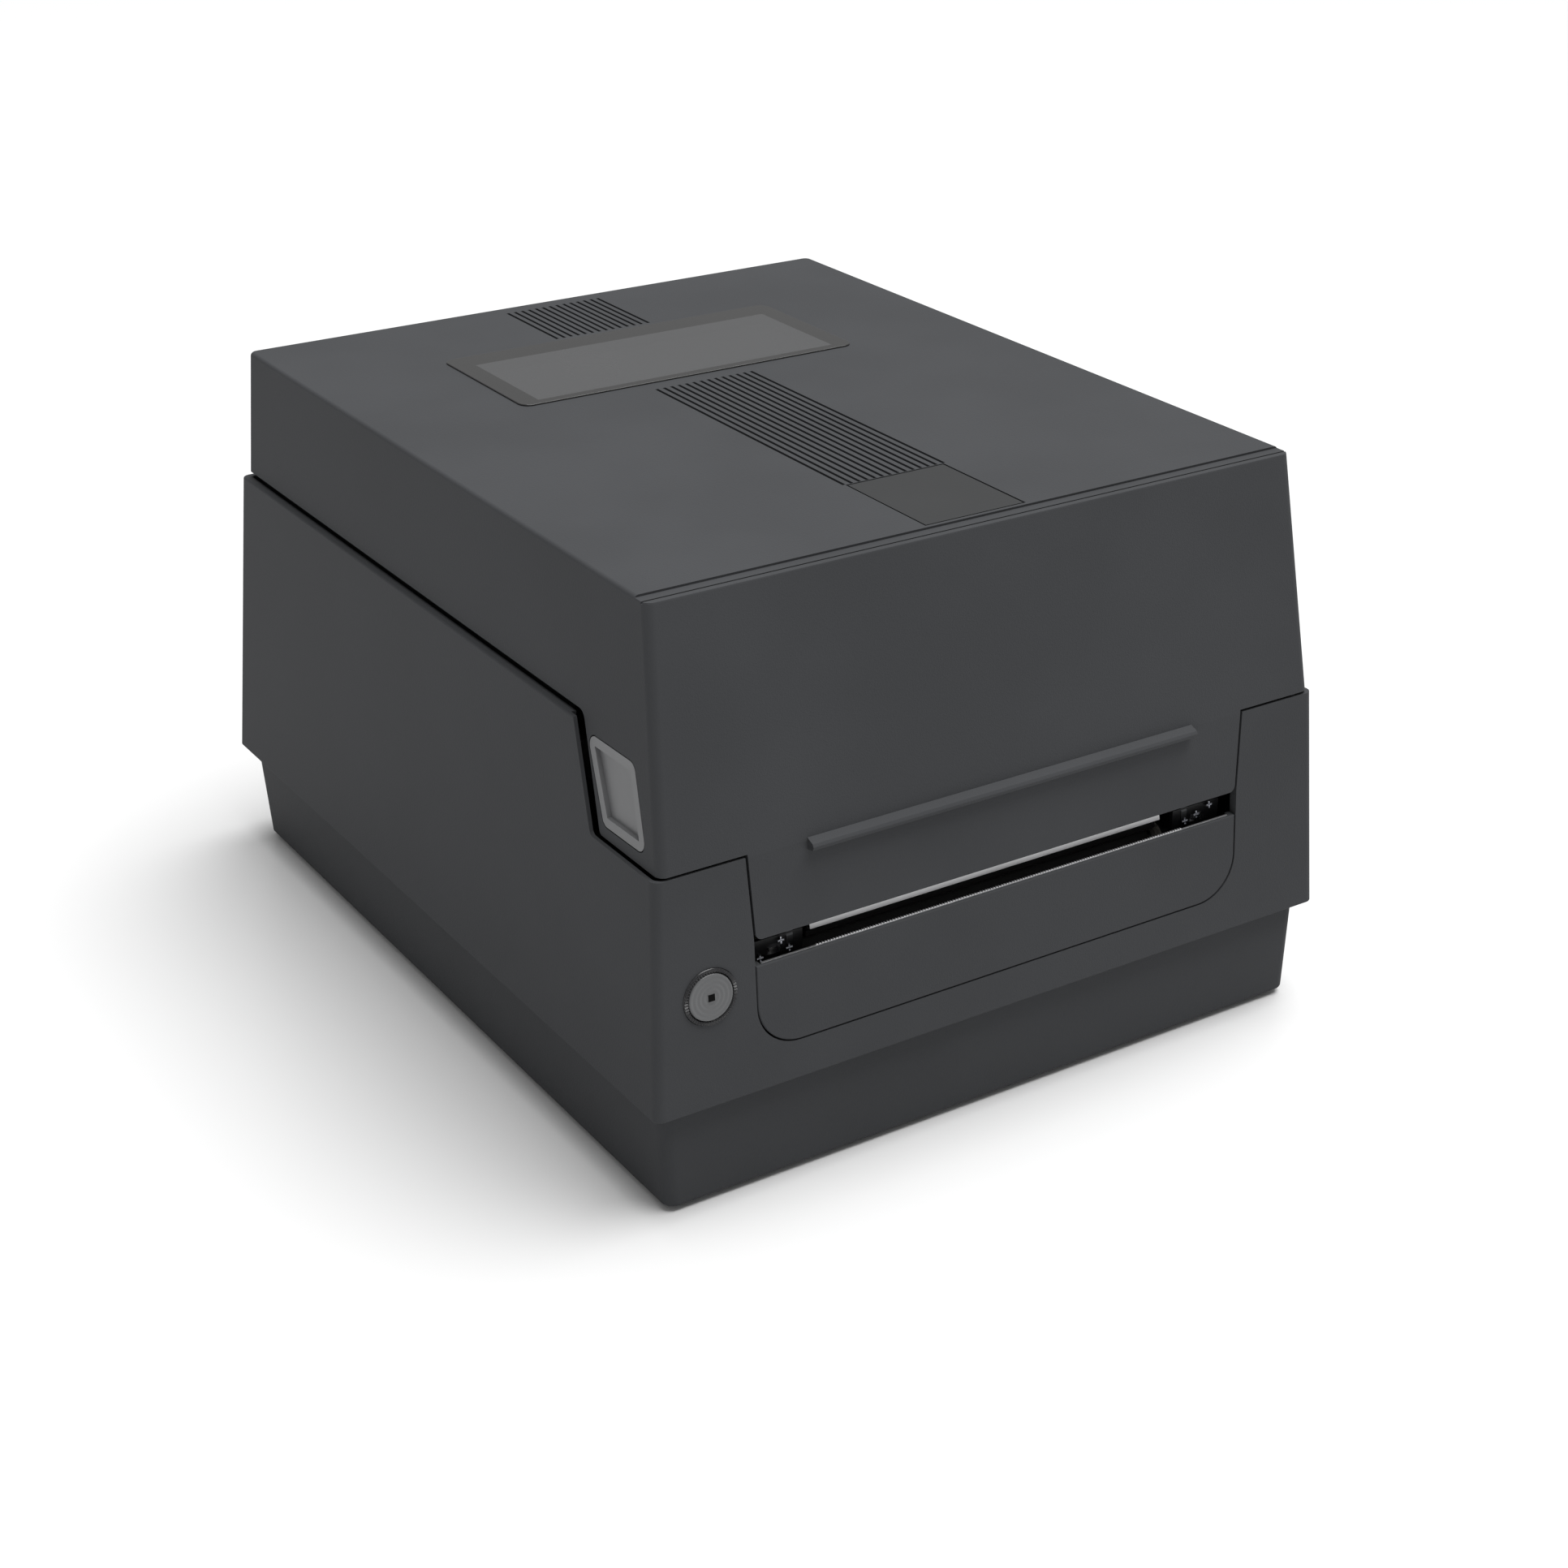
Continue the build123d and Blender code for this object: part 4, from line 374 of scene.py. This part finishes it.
FINISHES.update(by_name(
    ground_rubber("platen_rubber"),
    smoked_window("smoked_window"),
    solder_mask("circuit_board"),
))

# %% [markdown]
# ## Dressing the CAD
# Each CAD part names the finish that it wants. The part could get its material
# by hand, but a loop over the record is shorter and forgets none. Only the
# materials of these meshes are touched.

# %% Dressed nodes
for part in frame["record"]["subparts"]:
    mesh = NODES[part["node"]].data
    mesh.materials.clear()
    mesh.materials.append(FINISHES[part["material_slot"]])

# %% [markdown]
# ## Recipes for repeating things
# Teeth, knurls, pins and screws are one small shape many times over. An Array
# modifier or a loop in Python could repeat them. Geometry Nodes makes them from
# a rule that stays readable: points on a line or a ring, one shape set on each
# point, then real faces at the end. `Recipe` builds such a tree, with the count
# and the sizes as named inputs, and `bake` turns its result into a plain mesh
# that rides one body, so that no modifier is left in the scene.


# %% Recipes
class Recipe(Graph):
    """A Geometry Nodes tree in the making."""

    def __init__(self, name):
        super().__init__(bpy.data.node_groups.new(name, "GeometryNodeTree"))
        self.name, self.values = name, {}
        self.tree.interface.new_socket(
            "Geometry", in_out="OUTPUT", socket_type="NodeSocketGeometry")

    def knobs(self, **values):
        """Named inputs of the tree, whole numbers or lengths."""
        for name, value in values.items():
            kind = "NodeSocketInt" if isinstance(value, int) else "NodeSocketFloat"
            socket = self.tree.interface.new_socket(name, in_out="INPUT", socket_type=kind)
            self.values[socket.identifier] = value
        start = self.tree.nodes.new("NodeGroupInput")
        return [Signal(self, start.outputs[name]) for name in values]

    def vector(self, x, y, z):
        return self.node("ShaderNodeCombineXYZ", {}, {0: x, 1: y, 2: z})

    def box(self, x, y, z):
        return self.node("GeometryNodeMeshCube", {}, {"Size": self.vector(x, y, z)})

    def rod(self, radius, length, sides):
        return self.node(
            "GeometryNodeMeshCylinder", {}, {"Vertices": sides, "Radius": radius, "Depth": length})

    def moved(self, shape, shift=(0, 0, 0), turn=(0, 0, 0)):
        """The shape turned about the origin and then shifted."""
        inputs = {"Geometry": shape, "Translation": shift, "Rotation": turn}
        return self.node("GeometryNodeTransform", {}, inputs)

    def joined(self, *shapes):
        made = self.node("GeometryNodeJoinGeometry", {}, {})
        for shape in shapes:
            self.tree.links.new(shape.socket, made.socket.node.inputs[0])
        return made

    def cut(self, shape, tool):
        inputs = {"Mesh 1": shape, "Mesh 2": tool}
        return self.node("GeometryNodeMeshBoolean", {"operation": "DIFFERENCE"}, inputs)

    def line(self, count, first, step):
        return self.node(
            "GeometryNodeMeshLine", {}, {"Count": count, "Start Location": first, "Offset": step})

    def copies(self, points, shape, turn=(0, 0, 0)):
        return self.node(
            "GeometryNodeInstanceOnPoints", {}, {"Points": points, "Instance": shape, "Rotation": turn})

    def row(self, count, pitch, x, y, z, shape):
        """Copies along X at that pitch, with the middle of the row at (x, y, z)."""
        first = self.vector((count - 1) * pitch * -0.5 + x, y, z)
        return self.copies(self.line(count, first, self.vector(pitch, 0.0, 0.0)), shape)

    def ring(self, count, radius, shape):
        """Copies round the Z axis, each with its X away from the axis."""
        points = self.node("GeometryNodeMeshCircle", {}, {"Vertices": count, "Radius": radius})
        step = self.node("GeometryNodeInputIndex", {}, {}) * (2 * math.pi) / count
        return self.copies(points, shape, self.vector(0.0, 0.0, step))

    def bake(self, shape, body, slot, stands_for=(), finish=None):
        """The tree's result as a plain mesh that rides the body."""
        solid = self.node("GeometryNodeRealizeInstances", {}, {"Geometry": shape})
        dressed = self.node("GeometryNodeSetMaterial", {}, {"Geometry": solid})
        dressed.socket.node.inputs["Material"].default_value = finish or FINISHES[slot]
        end = self.tree.nodes.new("NodeGroupOutput")
        self.tree.links.new(dressed.socket, end.inputs[0])
        piece = bpy.data.objects.new(self.name, bpy.data.meshes.new(self.name))
        bpy.context.scene.collection.objects.link(piece)
        maker = piece.modifiers.new("recipe", "NODES")
        maker.node_group = self.tree
        for key, value in self.values.items():
            maker[key] = value
        found = piece.evaluated_get(bpy.context.evaluated_depsgraph_get())
        mesh = bpy.data.meshes.new_from_object(found)
        piece.modifiers.remove(maker)
        piece.data = mesh
        return place(piece, body, stands_for)


def place(piece, body, stands_for=()):
    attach(piece, body)
    if stands_for:
        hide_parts(*stands_for)
    print(piece.name, "faces:", len(piece.data.polygons))
    return piece


def turned(name, profile, sides, finish, body, stands_for=(), tilt=(0, 0, 0), seat=(0, 0, 0)):
    """A lathe: (radius, height) pairs in millimetres, spun round Z, tilted and seated."""
    points, faces = [], []
    for radius, height in profile:
        for number in range(sides):
            angle = 2 * math.pi * number / sides
            points.append(Vector((radius * math.cos(angle), radius * math.sin(angle), height)) * MM)
    for row in range(len(profile) - 1):
        for number in range(sides):
            after = (number + 1) % sides
            faces.append((row * sides + after, row * sides + number,
                          (row + 1) * sides + number, (row + 1) * sides + after))
    faces.append(tuple(range(sides)))
    faces.append(tuple(reversed(range(len(points) - sides, len(points)))))
    turn = Matrix.Translation(seat) @ Euler(tilt).to_matrix().to_4x4()
    mesh = bpy.data.meshes.new(name)
    mesh.from_pydata([turn @ point for point in points], [], faces)
    mesh.shade_smooth()
    mesh.set_sharp_from_angle(angle=math.radians(32))
    mesh.materials.append(finish)
    piece = bpy.data.objects.new(name, mesh)
    bpy.context.scene.collection.objects.link(piece)
    return place(piece, body, stands_for)


print("recipes ready")

# %% [markdown]
# ## The feed button
# The button is a low turned cap: broad soft rings round a small square lamp,
# inside a dark ring whose face is knurled. A Spin or Screw modifier could turn
# the cap, but a lathe written in Python takes the rings straight from a cosine.
# The knurl is a ring of small ridges, one cube each, half sunk into the ring.
# All stand on the sloping front, so they share one seat and one tilt.

# %% Feed button
FRONT_SLOPE = 0.07     # the front leans back by this much of its height
BUTTON_SEAT = (-95.2 * MM, -136.274 * MM, 63.4 * MM)
BUTTON_TILT = (math.atan2(1.0, FRONT_SLOPE), 0.0, 0.0)
CAP_R = 6.6            # sizes of the cap's profile, in millimetres
CAP_TOP = 0.72
RING_FIRST = 0.9       # radius of the first crest
RING_PITCH = 1.3
RING_DEEP = 0.11
RINGS_END = 6.1
STEM_R = 2.0


def cap_profile(steps=60):
    """Radius and height, from the middle of the face over the rim to the stem's end."""
    profile = [(0.02, 0.45)]
    for number in range(1, steps + 1):
        radius = RINGS_END * number / steps
        dip = 0.5 - 0.5 * math.cos(2 * math.pi * (radius - RING_FIRST) / RING_PITCH)
        profile.append((radius, CAP_TOP - RING_DEEP * dip))
    rim = [(6.35, 0.66), (6.5, 0.52), (6.58, 0.3), (CAP_R, 0.0), (CAP_R, -2.55)]
    stem = [(STEM_R, -2.6), (STEM_R, -6.55), (0.02, -6.6)]
    return profile + rim + stem


turned("button_cap", cap_profile(), 72, FINISHES["button_cap"], "feed_button",
       ["feed_button"], BUTTON_TILT, BUTTON_SEAT)

r = Recipe("button_lamp")
side, = r.knobs(side=1.9 * MM)
lamp = r.moved(r.box(side, side, 0.5 * MM), BUTTON_SEAT, BUTTON_TILT)
lamp = r.moved(lamp, (0.0, -0.62 * MM, 0.04 * MM))
lens = satin("lamp_lens", (0.003, 0.003, 0.003), 0.6, specular=0.05)
r.bake(lamp, "feed_button", "button_cap", finish=lens)

r = Recipe("button_knurl")
count, radius = r.knobs(count=56, radius=7.38 * MM)
ridge = r.moved(r.box(0.95 * MM, 0.44 * MM, 0.44 * MM), (0, 0, 0.36 * MM), (math.pi / 4, 0, 0))
ridges = r.ring(count, radius, ridge)
path = r.node(
    "GeometryNodeCurvePrimitiveCircle", {"mode": "RADIUS"}, {"Resolution": 72, "Radius": radius})
section = r.node(
    "GeometryNodeCurvePrimitiveQuadrilateral", {}, {"Width": 1.0 * MM, "Height": 3.3 * MM})
wall = r.node("GeometryNodeCurveToMesh", {}, {0: path, "Profile Curve": section})
wall = r.moved(wall, (0, 0, -1.3 * MM))
knurl = r.moved(r.joined(ridges, wall), BUTTON_SEAT, BUTTON_TILT)
r.bake(knurl, "base", "button_ring", ["button_ring"])

# %% [markdown]
# ## The tear blade
# The blade is a thin steel strip behind the bezel's lip, with a row of fine
# teeth along the middle of its edge. The teeth could be cut with a boolean, but
# standing them on the edge is quicker and cleaner. Each one is a cube turned on
# its edge, of which the upper half shows. The blade leans back with the front.

# %% Tear blade
BLADE_HIGH = 7.9 * MM
BLADE_PLACE = (0.0, -135.04 * MM, 63.85 * MM)
BLADE_LEAN = (-math.atan(FRONT_SLOPE), 0.0, 0.0)
r = Recipe("tear_blade_strip")
count, pitch = r.knobs(count=138, pitch=0.9 * MM)
strip = r.box(157.9 * MM, 0.55 * MM, BLADE_HIGH)
edge = pitch / math.sqrt(2)
tooth = r.moved(r.box(edge, 0.5 * MM, edge), (0, 0, 0), (0, math.pi / 4, 0))
teeth = r.row(count, pitch, 0.0, 0.0, BLADE_HIGH / 2, tooth)
blade = r.moved(r.joined(strip, teeth), BLADE_PLACE, BLADE_LEAN)
r.bake(blade, "base", "blade_steel", ["tear_blade"])

# %% [markdown]
# ## Brackets at the ends of the slot
# At each end of the slot a black bracket closes the view into the case, with
# small pan-head screws that catch the light. A bump could fake the cross, but
# its walls should glint, so it is cut. One screw is a short rod with a cross
# cut into it, and a recipe sets copies of it on a few points.


# %% Screws
def pan_head(recipe, sides, radius=1.5 * MM, high=1.0 * MM):
    """A round head along Z with a cross recess, and its seat at zero."""
    head = recipe.moved(recipe.rod(radius, high, sides), (0, 0, high / 2))
    long, narrow = 1.3 * radius, 0.3 * radius
    arms = [recipe.moved(recipe.box(x, y, high), (0, 0, high))
            for x, y in ((long, narrow), (narrow, long))]
    return recipe.cut(head, recipe.joined(*arms))


def spots(recipe, places):
    """Points at the given places, in millimetres."""
    single = [recipe.line(1, tuple(v * MM for v in spot), (0, 0, 0)) for spot in places]
    return recipe.joined(*single)


# Three heads at each end of the slot, in millimetres.
END_SCREWS = ((-76.6, -129.9, 66.2), (-70.2, -129.9, 69.6), (-67.6, -129.9, 66.8),
              (75.6, -129.9, 70.0), (71.0, -129.9, 68.2), (66.8, -129.9, 67.2))
SCREW_TURN = (math.radians(78), 0, 0)
BRACKETS = ((-71.4, -129.2, 66.5), (71.4, -129.2, 66.5))

r = Recipe("slot_screws")
sides, = r.knobs(sides=20)
screws = r.copies(spots(r, END_SCREWS), pan_head(r, sides), SCREW_TURN)
r.bake(screws, "base", "zinc_screws")

r = Recipe("slot_brackets")
wide, = r.knobs(wide=17.0 * MM)
brackets = r.copies(spots(r, BRACKETS), r.box(wide, 1.2 * MM, 9.0 * MM))
r.bake(brackets, "base", "frame_steel", finish=FINISHES["switch_black"])

# %% [markdown]
# ## Contacts in the rear sockets
# The network socket has eight gilt wires and the serial socket two rows of
# gilt contacts. They could be copied one by one, but both sockets are rows at a
# fixed pitch, so a line of points serves.

# %% Contacts
def socket_mouth(node):
    """The middle of a rear socket's face, in metres."""
    low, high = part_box(node)
    return Vector(((low[0] + high[0]) / 2, high[1], (low[2] + high[2]) / 2))


r = Recipe("network_contacts")
count, pitch = r.knobs(count=8, pitch=1.02 * MM)
mouth = socket_mouth("lan_port")
wire = r.box(0.4 * MM, 5.0 * MM, 0.4 * MM)
wires = r.row(count, pitch, mouth.x, mouth.y - 6.0 * MM, mouth.z + 2.1 * MM, wire)
r.bake(wires, "base", "brass")

r = Recipe("serial_contacts")
upper, lower, pitch = r.knobs(upper=5, lower=4, pitch=2.77 * MM)
mouth = socket_mouth("serial_port")
contact = r.moved(r.rod(0.55 * MM, 0.5 * MM, 12), (0, 0, 0), (math.pi / 2, 0, 0))
rows = [r.row(count, pitch, mouth.x, mouth.y - 1.1 * MM, mouth.z + up * MM, contact)
        for count, up in ((upper, 1.42), (lower, -1.42))]
r.bake(r.joined(*rows), "base", "brass")

# %% [markdown]
# ## Floor and light
# The printer stands on a plain pale floor. Area lights would light the floor
# unevenly, so the overhead light is a sun whose disc is very wide, which gives
# one broad soft shadow. A pale sky fills the sides, as in a studio tent. The
# floor has a little gloss, for the faint reflection under the front edge.


# %% Floor and light
def add_floor(half):
    mesh = bpy.data.meshes.new("floor")
    corners = [(-half, -half, 0), (half, -half, 0), (half, half, 0), (-half, half, 0)]
    mesh.from_pydata(corners, [], [(0, 1, 2, 3)])
    floor = bpy.data.objects.new("floor", mesh)
    bpy.context.scene.collection.objects.link(floor)
    f = Finish("floor_card")
    mesh.materials.append(f.done(f.blend(f.noise(0.002), 0.69, 0.71), 0.30, Specular_IOR_Level=0.2))
    return floor


def add_sun(aim, strength, spread_deg):
    """A lamp so far off that it lights the floor evenly; the spread softens its shadows."""
    data = bpy.data.lights.new("overhead", "SUN")
    data.energy, data.angle = strength, math.radians(spread_deg)
    lamp = bpy.data.objects.new("overhead", data)
    lamp.rotation_euler = Vector(aim).to_track_quat("Z", "Y").to_euler()
    bpy.context.scene.collection.objects.link(lamp)
    return lamp


def set_sky(colour, strength):
    world = bpy.data.worlds.new("studio")
    bpy.context.scene.world = world
    world.use_nodes = True
    sky = world.node_tree.nodes["Background"]
    sky.inputs["Color"].default_value = (*colour, 1.0)
    sky.inputs["Strength"].default_value = strength


add_floor(half=20.0)
add_sun(aim=(0.25, -0.07, 1.0), strength=4.2, spread_deg=50)
set_sky(colour=(1.0, 1.0, 1.0), strength=0.40)
bpy.context.scene.view_settings.view_transform = "Standard"
print("floor and lights are in")
